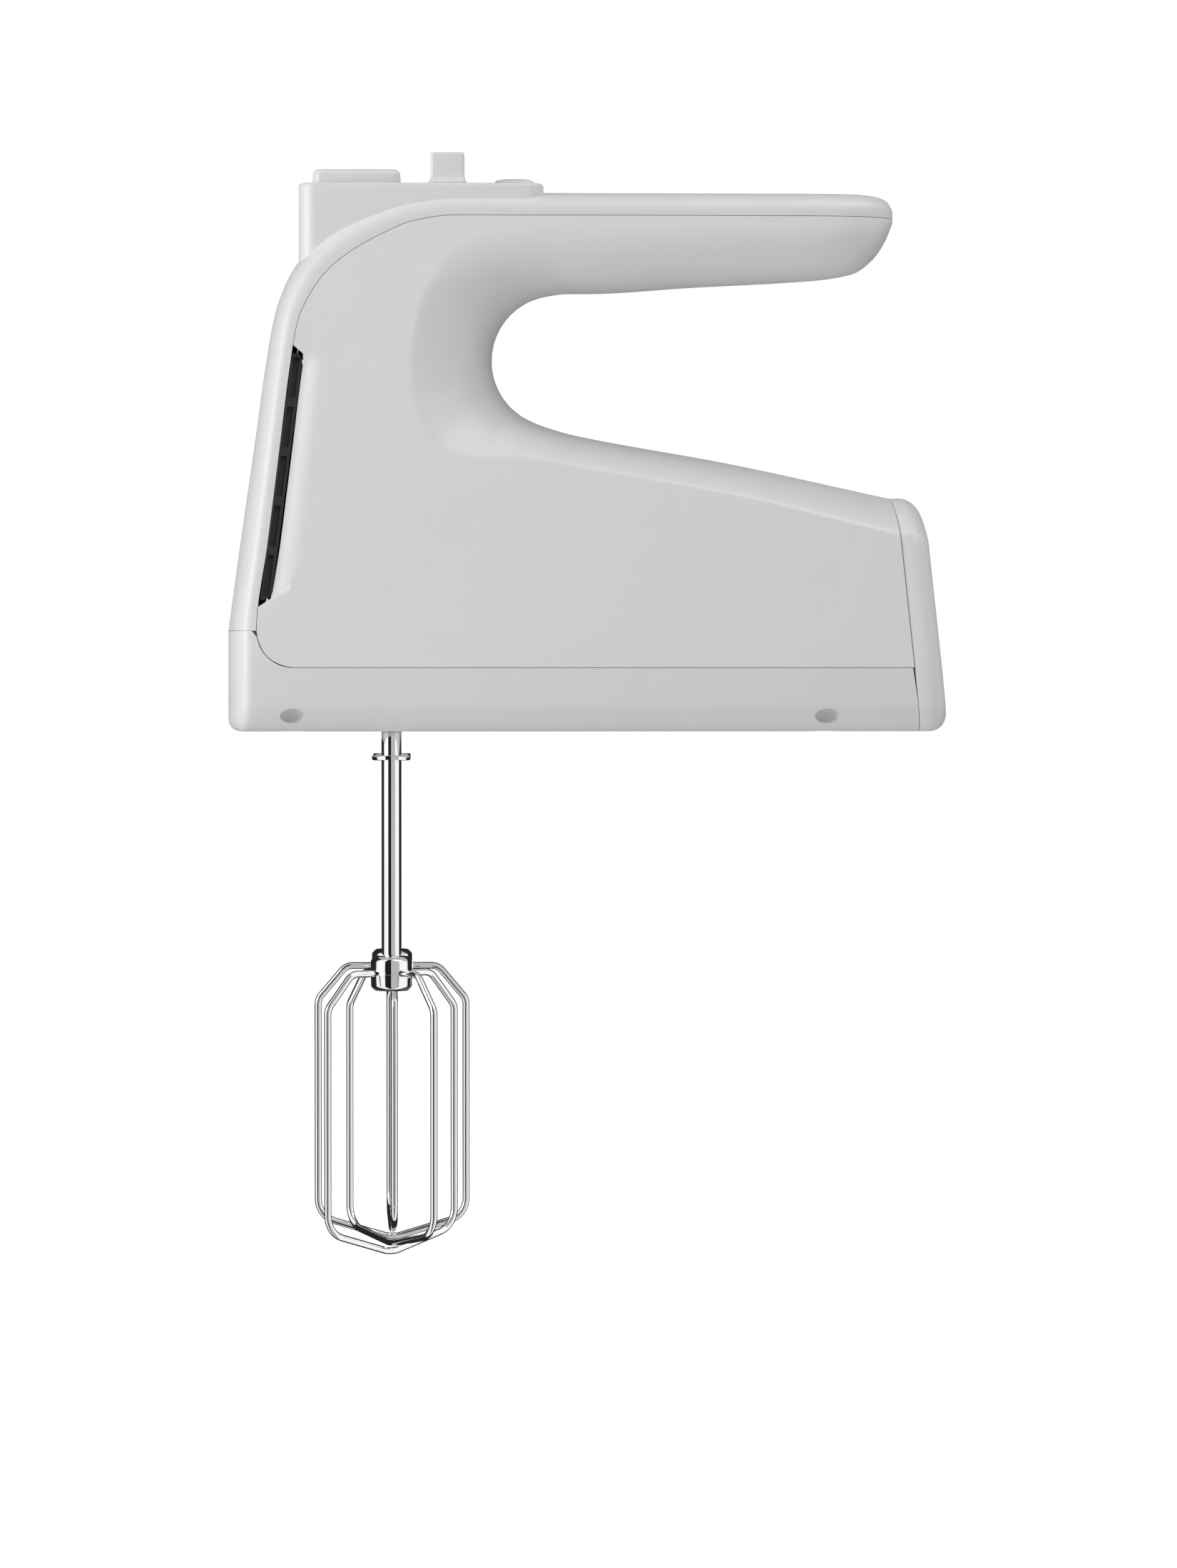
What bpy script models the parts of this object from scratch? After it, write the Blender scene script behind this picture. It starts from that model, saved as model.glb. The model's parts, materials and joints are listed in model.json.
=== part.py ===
"""Hand mixer with two balloon whisks, as an assembly of separate pieces.

Lengths below are in millimetres; make_object turns them into Blender's metres.
The origin is on the flat underside, midway between the two whisk sockets.
+X runs to the heel, +Y to the right-hand side and +Z up.
"""
import math

import bmesh
import bpy
import numpy as np

MM = 0.001

# ---- fits
GAP = 0.3                 # between pieces that touch
RUN = 0.45                # round a shaft that turns or slides
WALL = 2.4                # moulded covers

# ---- housing
BODY_WIDTH = 86.0         # at the base
HANDLE_WIDTH = 42.0       # at the handle's seam, near the control block
REAR_TAPER = 0.10         # share of the width lost from front to heel
TAPER_START = 20.0
FRONT_SEAM_X = -36.6      # where the side panels meet the front strip, low down
FRONT_X = -45.3
SEAM_LOW = 17.6
SEAM_FRONT = 27.6
SEAM_TOP = 142.6
PANEL_CORNER = 10.0
HANDLE_TOP = 149.9
PLATFORM_TOP = 151.8
PLATFORM_HALF = 17.5
NOSE_X = 140.3
NOSE_START = 112.0
HEEL_TOP = 65.0
HEEL_SEAM_X = 145.3       # the heel cover's seam at the underside
HEEL_DEPTH = 7.9          # from that seam back to the heel's rest face
HEEL_X = HEEL_SEAM_X + HEEL_DEPTH
HEEL_LEAN = 0.0955        # both lean forwards by this much per unit of height
HEEL_ROUND = 5.0
OPENING_X = 46.5          # centre of the round end of the finger opening
OPENING_Z = 103.3
OPENING_R = 18.4
SLOPE_FRONT = 84.6        # the lower edge of the opening where the round end stops
HANDLE_UNDER_FRONT = 122.2
HANDLE_UNDER_REAR = 126.0
EDGE_ROUND_FRONT = 3.0
EDGE_ROUND_SIDE = 8.0
DISH_DEPTH = 2.4          # the scoop in the side panel beside the vent
DISH_WIDTH = 14.0
CREASE = math.radians(24)  # turn from flat panel to crowned band

# ---- vents
VENT_LOW = 36.0
VENT_HIGH = 104.2
VENT_WIDTH = 3.0
VENT_THICK = 1.6
VENT_SLOTS = 5
VENT_RIB = 2.5
VENT_SEAM_TOP = (-26.95, 105.9)

# ---- drive
SPINDLE_Y = 21.0
AXIS_Z = 27.0
WHEEL_TEETH = 28
WORM_STARTS = 2
WHEEL_PITCH_R = 15.5
WORM_PITCH_R = SPINDLE_Y - WHEEL_PITCH_R
WORM_LEAD = 2 * math.pi * WHEEL_PITCH_R / WHEEL_TEETH * WORM_STARTS
TOOTH_HEIGHT = 1.05       # above and below the pitch line
TOOTH_ROOT = 0.2          # extra depth at the root
THREAD_THICK = 1.25       # of a thread and of a tooth, at the pitch line
WHEEL_THICK = 9.0
WORM_HALF = 12.0
SHAFT_R = 3.0
WHISK_SHAFT_R = 2.7
SLEEVE_BORE_R = WHISK_SHAFT_R + 0.4
SLEEVE_R = SLEEVE_BORE_R + 1.4
SLEEVE_LOW = 3.0
SLEEVE_HIGH = 44.0
BUSH_R = SLEEVE_R + 2.5

# ---- motor
CORE_FRONT = 62.0
CORE_REAR = 90.0
CORE_HALF_Y = 25.0
CORE_LOW = WALL + GAP
ROTOR_R = 15.0
AIR_GAP = 0.7
COIL_IN = 9.5             # field coils, measured from the motor's axis
COIL_OUT = 16.5
COIL_HALF_Y = 20.0
POLE_HALF_Y = 13.5
COMMUTATOR_X = 106.0
COMMUTATOR_R = 8.5
BRUSH = 5.6
FAN_X = 41.0
FAN_R = 17.0
REAR_BEARING_X = 126.0
BEARING_R = 7.0
BEARING_WIDTH = 4.0
FRAME_HALF_Y = 31.0
WEB_X = 22.0              # the gearbox frame's two bearing webs, from the spindles' plane

# ---- whisks
SHAFT_TOP = 18.0
COLLAR_R = WHISK_SHAFT_R + 2.65
COLLAR_LOW = -8.1
COLLAR_HIGH = -6.7
HUB_R = WHISK_SHAFT_R + 3.0
HUB_LOW = -71.9
HUB_HIGH = -62.3
WIRE_R = 1.0
CAGE_R = 21.0
ARM_Z = -67.0
ARM_R = 13.0
SHOULDER_Z = -76.5
FOOT_Z = -138.2
TIP_Z = -144.0
WHISK_TURN = {-1: 33.9, 1: 2.0}   # degrees, of the first wire about each spindle

# ---- controls
EJECT_X = -9.6
EJECT_LONG = 24.4
EJECT_HALF_Y = 11.5
EJECT_TOP = 156.4
EJECT_LOW = 150.4
ROD = 6.0
FORK_Z = 52.3
BRACKET_Z = 128.0
BRACKET_THICK = 2.3
CONTACT_Z = 142.0
SLIDER_X = 15.7
SLIDER_TOP = 160.5
SLIDER_REST_Y = -12.0
SLIDER_TRAVEL = 24.0
TURBO_X = 34.4
TURBO_LONG = 11.6
TURBO_HALF_Y = 6.0
TURBO_TOP = 154.2
TURBO_LOW = 147.9

SIDES = ((-1, "left"), (1, "right"))
SCREWS = ((-26.8, "front"), (119.6, "rear"))
SCREW_INSET = 9.5         # from the side
SCREW_WELL = 5.4
SCREW_R = 1.5
SCREW_HEAD_R = 2.9
GLAND_X = 128.0
GLAND_Z = 34.0
STEM_HALF_X = 2.4
STEM_HALF_Y = 2.0

# ---- finishes: colour, roughness, metallic
FINISHES = {
    "white_abs": ((0.69, 0.69, 0.68), 0.38, 0.0),
    "grey_abs": ((0.069, 0.069, 0.065), 0.5, 0.0),
    "chrome": ((0.8, 0.8, 0.81), 0.12, 1.0),
    "steel": ((0.55, 0.55, 0.56), 0.35, 1.0),
    "lamination": ((0.25, 0.25, 0.26), 0.5, 0.9),
    "copper": ((0.6, 0.25, 0.1), 0.35, 1.0),
    "zinc": ((0.45, 0.46, 0.47), 0.5, 0.9),
    "acetal": ((0.75, 0.73, 0.66), 0.5, 0.0),
    "bronze": ((0.45, 0.3, 0.13), 0.45, 1.0),
    "carbon": ((0.03, 0.03, 0.03), 0.7, 0.0),
    "board": ((0.05, 0.2, 0.09), 0.5, 0.0),
    "rubber": ((0.05, 0.05, 0.05), 0.8, 0.0),
}


def material(finish):
    """A Principled material for one of the finishes, made once."""
    found = bpy.data.materials.get(finish)
    if found:
        return found
    colour, roughness, metallic = FINISHES[finish]
    made = bpy.data.materials.new(finish)
    made.use_nodes = True
    shader = made.node_tree.nodes["Principled BSDF"]
    shader.inputs["Base Color"].default_value = (*colour, 1.0)
    shader.inputs["Roughness"].default_value = roughness
    shader.inputs["Metallic"].default_value = metallic
    made.diffuse_color = (*colour, 1.0)
    return made


def pivot(name, x, y, z):
    """An empty on a joint's axis; the pieces that move with it are its children."""
    empty = bpy.data.objects.new(name, None)
    empty.location = (x * MM, y * MM, z * MM)
    empty.empty_display_size = 0.01
    bpy.context.scene.collection.objects.link(empty)
    return empty


def make_object(name, shape, finish, parent=None):
    """One object from (points, faces) in millimetres, under its pivot if it has one."""
    points, faces = shape
    origin = parent.location if parent else (0.0, 0.0, 0.0)
    points = np.asarray(points, dtype=float) * MM - np.asarray(origin)
    mesh = bpy.data.meshes.new(name)
    mesh.from_pydata(points.tolist(), [], faces)
    bm = bmesh.new()
    bm.from_mesh(mesh)
    bmesh.ops.recalc_face_normals(bm, faces=bm.faces)
    bm.to_mesh(mesh)
    bm.free()
    mesh.shade_smooth()
    mesh.set_sharp_from_angle(angle=math.radians(35))
    mesh.materials.append(material(finish))
    made = bpy.data.objects.new(name, mesh)
    made.parent = parent
    bpy.context.scene.collection.objects.link(made)
    return made


def combine(target, name, shape, operation):
    """Cut a shape out of the target, or weld it on, with a Boolean."""
    tool = make_object(name, shape, "rubber")
    tool.hide_render = True
    tool.display_type = "WIRE"
    step = target.modifiers.new(name, "BOOLEAN")
    step.operation = operation
    step.solver = "EXACT"
    step.object = tool
    return tool


def cut(target, name, shape):
    return combine(target, name, shape, "DIFFERENCE")


def weld(target, name, shape):
    return combine(target, name, shape, "UNION")


def bevel(target, width, segments=2):
    step = target.modifiers.new("edges", "BEVEL")
    step.width = width * MM
    step.segments = segments
    step.limit_method = "ANGLE"
    step.angle_limit = math.radians(40)


# ---- shapes

def loft(rings, closed=False):
    """Rings of equally many points, joined one to the next; ends capped unless closed."""
    rings = np.asarray(rings, dtype=float)
    count, around = rings.shape[:2]
    faces = []
    for i in range(count if closed else count - 1):
        a, b = i * around, (i + 1) % count * around
        faces += [(a + j, a + (j + 1) % around, b + (j + 1) % around, b + j) for j in range(around)]
    if not closed:
        faces += [tuple(range(around)), tuple((count - 1) * around + j for j in range(around))]
    return rings.reshape(-1, 3), faces


def shell(outer, inner):
    """A wall between two open grids of the same size, with its four rims closed."""
    rows, columns = outer.shape[:2]
    half = rows * columns
    faces = []
    for i in range(rows - 1):
        for j in range(columns - 1):
            a = i * columns + j
            quad = (a, a + 1, a + columns + 1, a + columns)
            faces += [quad, tuple(half + k for k in reversed(quad))]
    edge = [i * columns for i in range(rows)]
    edge += [(rows - 1) * columns + j for j in range(1, columns)]
    edge += [i * columns + columns - 1 for i in range(rows - 2, -1, -1)]
    edge += list(range(columns - 2, 0, -1))
    faces += [(a, b, half + b, half + a) for a, b in zip(edge, edge[1:] + edge[:1])]
    return np.concatenate([outer.reshape(-1, 3), inner.reshape(-1, 3)]), faces


def merge(*shapes):
    """Several shapes as one mesh, for a cutter with many teeth."""
    points, faces, start = [], [], 0
    for shape_points, shape_faces in shapes:
        points.append(np.asarray(shape_points, dtype=float))
        faces += [tuple(start + k for k in face) for face in shape_faces]
        start += len(shape_points)
    return np.concatenate(points), faces


def box(x, y, z):
    """A box between the two values given for each axis."""
    ring = [(x[0], y[0]), (x[1], y[0]), (x[1], y[1]), (x[0], y[1])]
    return loft([[(a, b, h) for a, b in ring] for h in z])


def on_axis(axis, radius, height, angle, centre):
    """Points at a radius, a height and an angle about an axis through centre."""
    c, s = radius * np.cos(angle), radius * np.sin(angle)
    h = np.broadcast_to(height, np.shape(c))
    order = {"X": (h, c, s), "Y": (s, h, c), "Z": (c, s, h)}[axis]
    return np.stack(order, axis=-1) + np.asarray(centre, dtype=float)


def turned(profile, axis, centre, steps=20):
    """Rings of a turned piece, one for each (radius, height) of its profile."""
    angle = np.linspace(0, 2 * math.pi, steps, endpoint=False)
    return [on_axis(axis, r, h, angle, centre) for r, h in profile]


def rod(axis, centre, radius, low, high, steps=20, edge=0.0):
    """A solid round bar with an optional chamfer at both ends."""
    profile = [(radius - edge, low), (radius, low + edge), (radius, high - edge), (radius - edge, high)]
    if edge == 0:
        profile = [(radius, low), (radius, high)]
    return loft(turned(profile, axis, centre, steps))


def sleeve(axis, centre, outer, inner, low, high, steps=20):
    """A round tube."""
    profile = [(outer, low), (outer, high), (inner, high), (inner, low)]
    return loft(turned(profile, axis, centre, steps), closed=True)


def smooth(value):
    """0 below 0, 1 above 1 and a soft step between."""
    t = np.clip(value, 0.0, 1.0)
    return t * t * (3 - 2 * t)


def bent_path(corners, bends, steps=4):
    """Straight runs through corners, with each inner corner rounded to its bend radius."""
    corners = [np.asarray(c, dtype=float) for c in corners]
    path = [corners[0]]
    for before, at, after, radius in zip(corners, corners[1:], corners[2:], bends):
        inward = (before - at) / np.linalg.norm(before - at)
        onward = (after - at) / np.linalg.norm(after - at)
        half = math.acos(float(np.clip(inward @ onward, -1, 1))) / 2
        reach = radius / math.tan(half)
        middle = (inward + onward) / np.linalg.norm(inward + onward)
        centre = at + middle * radius / math.sin(half)
        start, end = at + inward * reach - centre, at + onward * reach - centre
        turn = math.pi - 2 * half
        for k in range(steps + 1):
            a = turn * k / steps
            path.append(centre + (start * math.sin(turn - a) + end * math.sin(a)) / math.sin(turn))
    path.append(corners[-1])
    return np.array(path)


def tube(path, radius, side, sides=6):
    """A round wire along a flat path; side is the unit vector across the path's plane."""
    path = np.asarray(path, dtype=float)
    along = np.gradient(path, axis=0)
    along /= np.linalg.norm(along, axis=1, keepdims=True)
    side = np.broadcast_to(np.asarray(side, dtype=float), along.shape)
    across = np.cross(along, side)
    across /= np.linalg.norm(across, axis=1, keepdims=True)
    angle = np.linspace(0, 2 * math.pi, sides, endpoint=False)[None, :, None]
    return loft(path[:, None] + radius * (np.cos(angle) * across[:, None] + np.sin(angle) * side[:, None]))


# ---- housing surfaces

def half_width(x, z):
    """Half the housing's width: drafted upwards, narrowing to the heel and round the nose."""
    rise = np.clip((z - SEAM_LOW) / (SEAM_TOP - SEAM_LOW), 0, 1)
    width = (BODY_WIDTH + (HANDLE_WIDTH - BODY_WIDTH) * rise) / 2
    width = width * (1 - REAR_TAPER * np.clip((x - TAPER_START) / (HEEL_X - TAPER_START), 0, 1) ** 2)
    nose = np.clip((x - NOSE_START) / (NOSE_X - NOSE_START), 0, 1) * smooth((z - 110) / 10)
    return width * np.cbrt(1 - nose ** 3)


def heel_seam(z):
    return HEEL_SEAM_X - HEEL_LEAN * z


def heel_face(z):
    return HEEL_X - HEEL_LEAN * z


def opening_at(degrees):
    """A point on the round end of the finger opening."""
    a = math.radians(degrees)
    return OPENING_X + OPENING_R * math.cos(a), OPENING_Z + OPENING_R * math.sin(a)


def panel_corner(degrees):
    """A point on the round lower front corner of the side panel."""
    a = math.radians(degrees)
    return (FRONT_SEAM_X + PANEL_CORNER * (1 + math.cos(a)), SEAM_FRONT + PANEL_CORNER * math.sin(a))


# Design stations across the C of the housing, as side-view points (x, z): the side panel's
# outer seam, the ridge of the finger opening, the share of the distance between them that is
# crowned band, and how sharp its crease is (0..1). From the eighth station on, the top
# cover's shoulder and its crown follow.
STATIONS = [
    ((heel_seam(SEAM_LOW) - GAP, SEAM_LOW), (heel_seam(HEEL_TOP) - GAP, HEEL_TOP), 0.225, 1.0),
    ((96.0, SEAM_LOW), (96.0, 74.3), 0.165, 1.0),
    ((46.0, SEAM_LOW), (47.0, SLOPE_FRONT - 1.0), 0.145, 1.0),
    ((8.0, SEAM_LOW), opening_at(241), 0.16, 1.0),
    ((-14.0, SEAM_LOW), opening_at(226), 0.2, 1.0),
    (panel_corner(270), opening_at(215), 0.22, 1.0),
    (panel_corner(225), opening_at(210), 0.23, 1.0),
    (panel_corner(180), opening_at(205), 0.25, 1.0, (-45.3, 27.9), (-45.3, 27.9)),
    ((-33.5, 52.4), opening_at(194), 0.31, 1.0, (-41.8, 53.3), (-41.8, 53.3)),
    ((-30.4, 77.8), opening_at(184), 0.37, 1.0, (-38.1, 79.1), (-38.1, 79.1)),
    ((-27.8, 99.4), opening_at(176), 0.4, 1.0, (-35.0, 101.4), (-35.0, 101.4)),
    ((-25.6, 112.8), opening_at(166), 0.41, 1.0, (-32.4, 115.8), (-32.4, 115.8)),
    ((-21.9, 121.1), opening_at(156), 0.43, 1.0, (-28.8, 125.6), (-28.6, 125.6)),
    ((-17.2, 127.4), opening_at(146), 0.46, 0.9, (-23.3, 133.6), (-25.6, 141.0)),
    ((-11.2, 132.3), opening_at(136), 0.5, 0.7, (-15.8, 139.9), (-24.6, 150.8)),
    ((-2.1, 137.5), opening_at(125), 0.56, 0.5, (-4.6, 145.2), (-11.0, PLATFORM_TOP)),
    ((6.8, 141.1), opening_at(113), 0.64, 0.3, (5.8, 148.4), (4.0, PLATFORM_TOP)),
    ((18.0, SEAM_TOP), opening_at(100), 0.74, 0.1, (18.0, HANDLE_TOP), (18.0, PLATFORM_TOP)),
    ((40.5, SEAM_TOP), (50.0, HANDLE_UNDER_FRONT), 0.85, 0.0, (40.5, HANDLE_TOP), (40.5, PLATFORM_TOP)),
    ((45.0, SEAM_TOP), (54.0, HANDLE_UNDER_FRONT), 0.85, 0.0, (45.0, HANDLE_TOP), (45.0, HANDLE_TOP)),
    ((80.0, SEAM_TOP), (84.0, 124.0), 0.85, 0.0, (80.0, HANDLE_TOP), (80.0, HANDLE_TOP)),
    ((118.0, SEAM_TOP), (118.0, HANDLE_UNDER_REAR), 0.85, 0.0, (118.0, HANDLE_TOP), (118.0, HANDLE_TOP)),
    ((129.0, SEAM_TOP), (129.0, 127.8), 0.85, 0.0, (129.0, 149.8), (129.0, 149.8)),
    ((135.0, SEAM_TOP), (135.0, 132.0), 0.85, 0.0, (135.0, 149.2), (135.0, 149.2)),
    ((138.4, SEAM_TOP), (138.4, 137.2), 0.85, 0.0, (138.4, 148.0), (138.4, 148.0)),
    ((140.0, SEAM_TOP), (140.0, 141.2), 0.85, 0.0, (140.0, 145.8), (140.0, 145.8)),
]
COVER_START = 7
STATION_STEP = 13.0


def along_stations(values, first=0):
    """A smooth curve through the stations' values, sampled alike for every piece."""
    seam = np.array([s[0] for s in STATIONS])
    ridge = np.array([s[1] for s in STATIONS])
    values = np.array(values, dtype=float).reshape(len(STATIONS) - first, -1)
    spans = sum(np.linalg.norm(np.diff(line, axis=0), axis=1) for line in (seam, ridge)) / 2
    place = np.concatenate([[0.0], np.cumsum(spans)])[first:]
    step = np.diff(values, axis=0) / np.diff(place)[:, None]
    both = step[:-1] * step[1:]
    slope = np.zeros_like(values)
    slope[1:-1] = np.where(both > 0, 2 * both / np.where(both > 0, step[:-1] + step[1:], 1), 0)
    slope[0], slope[-1] = step[0], step[-1]
    out = [values[:1]]
    for k in range(len(place) - 1):
        span = place[k + 1] - place[k]
        t = np.linspace(0, 1, max(1, round(span / STATION_STEP)) + 1)[1:, None]
        out.append((2 * t ** 3 - 3 * t ** 2 + 1) * values[k] + (t ** 3 - 2 * t ** 2 + t) * span * slope[k]
                   + (3 * t ** 2 - 2 * t ** 3) * values[k + 1] + (t ** 3 - t ** 2) * span * slope[k + 1])
    return np.concatenate(out)


def dish(x, z):
    """Depth of the scoop beside the vent: full at the seam, nothing DISH_WIDTH behind it."""
    front = [s[0] for s in STATIONS[COVER_START:COVER_START + 5]]
    seam = np.interp(z, [point[1] for point in front], [point[0] for point in front])
    ends = smooth((z - VENT_LOW + 1) / 6) * smooth((VENT_HIGH + 2 - z) / 10)
    return DISH_DEPTH * (1 - smooth((x - seam) / DISH_WIDTH)) * ends


def side_grid(side, wall):
    """Side shell surface: a drafted panel, then a crowned band down to the opening's ridge.

    wall is 0 for the outer surface; the inner one is the same shape drawn in by the wall.
    """
    seam = along_stations([s[0] for s in STATIONS])
    ridge = along_stations([s[1] for s in STATIONS])
    band = along_stations([s[2] for s in STATIONS])
    bend = along_stations([s[3] for s in STATIONS]) * CREASE
    deep = np.linalg.norm(ridge - seam, axis=1, keepdims=True)
    ridge = ridge + (seam - ridge) / deep * np.minimum(wall, 0.6 * deep)
    nose = wall * smooth((seam[:, :1] - NOSE_START) / (NOSE_X - NOSE_START)) * (seam[:, 1:] > 140)
    seam, ridge = seam - nose * [1, 0], ridge - nose * [1, 0]
    panel = (1 - band) * np.array([0, 0.1, 0.22, 0.4, 0.7, 1.0])
    turn = bend + (math.pi / 2 - bend) * np.linspace(0, 1, 7)[1:]
    start = np.sin(bend)
    band_part = (1 - band) + band * (np.sin(turn) - start) / (1 - start)
    share = np.concatenate([panel, band_part], axis=1)[..., None]
    crown = np.concatenate([np.ones_like(panel), np.cos(turn) / np.cos(bend)], axis=1)
    xz = seam[:, None] + (ridge - seam)[:, None] * share
    x, z = xz[..., 0], xz[..., 1]
    width = half_width(x + nose, z)
    width = width - np.minimum(wall, 0.6 * width) - dish(x, z)
    y = side * (GAP / 2 + (width - GAP / 2) * crown)
    return np.stack([x, y, z], axis=-1)


def cover_grid(wall):
    """Top cover surface: across the front strip, the arch and the handle, with the platform.

    The section leaves the seam upright and turns over like a squared-off ellipse;
    inside PLATFORM_HALF it steps up to the control platform.
    """
    seam = along_stations([s[0] for s in STATIONS])
    shoulder = along_stations([s[4] for s in STATIONS[COVER_START:]], COVER_START)
    crown = along_stations([s[5] for s in STATIONS[COVER_START:]], COVER_START)
    seam = seam[-len(shoulder):]
    outward = shoulder - seam
    seam = seam + outward / np.linalg.norm(outward, axis=1, keepdims=True) * GAP
    for line in (shoulder, crown):
        back = seam - line
        deep = np.linalg.norm(back, axis=1, keepdims=True)
        line += back / deep * np.minimum(wall, 0.7 * deep)
    nose = wall * smooth((seam[:, :1] - NOSE_START) / (NOSE_X - NOSE_START))
    width = half_width(seam[:, :1], seam[:, 1:])
    inner = width - np.minimum(wall, 0.6 * width)
    plateau = np.minimum(PLATFORM_HALF - 0.8 * wall, 0.75 * inner)
    reach = np.array([1, 0.97, 0.88, 0.72, 0.45, 0.2, 0.0])
    outer_part = plateau + 1.2 + (inner - plateau - 1.2) * reach
    inner_part = plateau * np.array([1.0, 0.93, 0.5, 0.0])
    y = np.concatenate([outer_part, inner_part], axis=1)
    y = np.concatenate([y, -y[:, -2::-1]], axis=1)
    over = np.cbrt(1 - np.clip(np.abs(y) / inner, 0, 1) ** 3)
    step = smooth((plateau + 1.2 - np.abs(y)) / (1.2 + 0.07 * plateau))
    xz = (seam - nose * [1, 0])[:, None] + (shoulder - seam)[:, None] * over[..., None]
    xz = xz + (crown - shoulder)[:, None] * step[..., None]
    return np.stack([xz[..., 0], y, xz[..., 1]], axis=-1)


def base_rim(x):
    """Height of the base tray's upper edge, GAP under the panel and round its corner."""
    radius = PANEL_CORNER + GAP
    centre = FRONT_SEAM_X + PANEL_CORNER
    across = np.clip((centre - x) / radius, 0, 1)
    return np.where(x < centre - radius, SEAM_FRONT, SEAM_FRONT - radius * np.sqrt(1 - across ** 2))


def base_rings():
    """Rings of the base tray: outside from the floor to the rim, then down the inside."""
    turn = np.linspace(-math.pi / 2, math.pi / 2, 13)
    front_x = FRONT_SEAM_X + (FRONT_X - FRONT_SEAM_X) * np.cbrt(1 - np.abs(np.sin(turn)) ** 3)
    side_x = FRONT_SEAM_X + np.array([1.5, 4.0, 7.0, 10.3, 45, 90, 140, HEEL_X - FRONT_X])
    x = np.concatenate([side_x[::-1], front_x, side_x])
    share = np.concatenate([-np.ones(len(side_x)), np.sin(turn), np.ones(len(side_x))])
    along = np.abs(share) ** 3
    edge = EDGE_ROUND_FRONT + (EDGE_ROUND_SIDE - EDGE_ROUND_FRONT) * along

    rear = np.zeros_like(x)
    rear[[0, -1]] = 1

    def ring(height, inset):
        y = share * (half_width(x, height) - inset * along)
        return np.stack([x + inset * (1 - along - rear), y, height * np.ones_like(x)], axis=-1)

    rings = []
    for wall in (0.0, WALL):
        radius = edge - wall * 0.8
        walls = [ring(edge + (base_rim(x) - edge) * t, wall) for t in (1.0, 0.0)]
        for a in np.linspace(0, math.pi / 2, 4)[1:]:
            walls.append(ring(wall + radius * (1 - math.sin(a)), wall + radius * (1 - math.cos(a))))
        rings.append(walls)
    return np.array(rings[0][::-1] + rings[1])


def heel_rings():
    """Rings of the heel cover: the inner face outwards over the rim and on to the rest face."""
    low = np.linspace(0, math.pi / 2, 5)
    band = STATIONS[0][2]
    crease_z = HEEL_TOP - band * (HEEL_TOP - SEAM_LOW)
    x = heel_seam(SEAM_LOW)
    base = half_width(x, 0.0)
    y = list(base - EDGE_ROUND_SIDE * (1 - np.sin(low)))
    z = list(EDGE_ROUND_SIDE * (1 - np.cos(low)))
    for height in (SEAM_LOW, (SEAM_LOW + crease_z) / 2, crease_z):
        y.append(float(half_width(x, height)))
        z.append(height)
    for a in CREASE + (math.pi / 2 - CREASE) * np.linspace(0, 1, 7)[1:]:
        z.append(crease_z + (HEEL_TOP - crease_z) * (math.sin(a) - math.sin(CREASE)) / (1 - math.sin(CREASE)))
        y.append(float(half_width(x, z[-1])) * math.cos(a) / math.cos(CREASE))
    y, z = np.array(y), np.array(z)
    y, z = np.concatenate([y, -y[-2::-1]]), np.concatenate([z, z[-2::-1]])
    tangent = np.stack([np.roll(y, -1) - np.roll(y, 1), np.roll(z, -1) - np.roll(z, 1)], axis=-1)
    tangent /= np.linalg.norm(tangent, axis=1, keepdims=True)

    def ring(inset, depth):
        ry, rz = y - tangent[:, 1] * inset, z + tangent[:, 0] * inset
        return np.stack([heel_seam(rz) + depth, ry, rz], axis=-1)

    deep = HEEL_X - HEEL_SEAM_X
    outer = [ring(0.0, 0.0)]
    for a in np.linspace(0, math.pi / 2, 4):
        outer.append(ring(HEEL_ROUND * (1 - math.cos(a)), deep - HEEL_ROUND * (1 - math.sin(a))))
    inner = [ring(WALL, 0.0), ring(WALL, deep - HEEL_ROUND), ring(HEEL_ROUND, deep - WALL)]
    return inner[::-1] + outer


def vent_seam(z):
    """The straight line that the vents follow, beside the front seam."""
    return np.interp(z, [SEAM_FRONT, VENT_SEAM_TOP[1]], [FRONT_SEAM_X - 0.25, VENT_SEAM_TOP[0]])


def vent_strip(back, front, low, high, depth):
    """A strip beside the front seam, between two distances behind it; depth is its span in Y."""
    corners = ((low, back), (low, front), (high, front), (high, back))
    return loft([[(vent_seam(z) + far, y, z) for z, far in corners] for y in depth])


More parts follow.
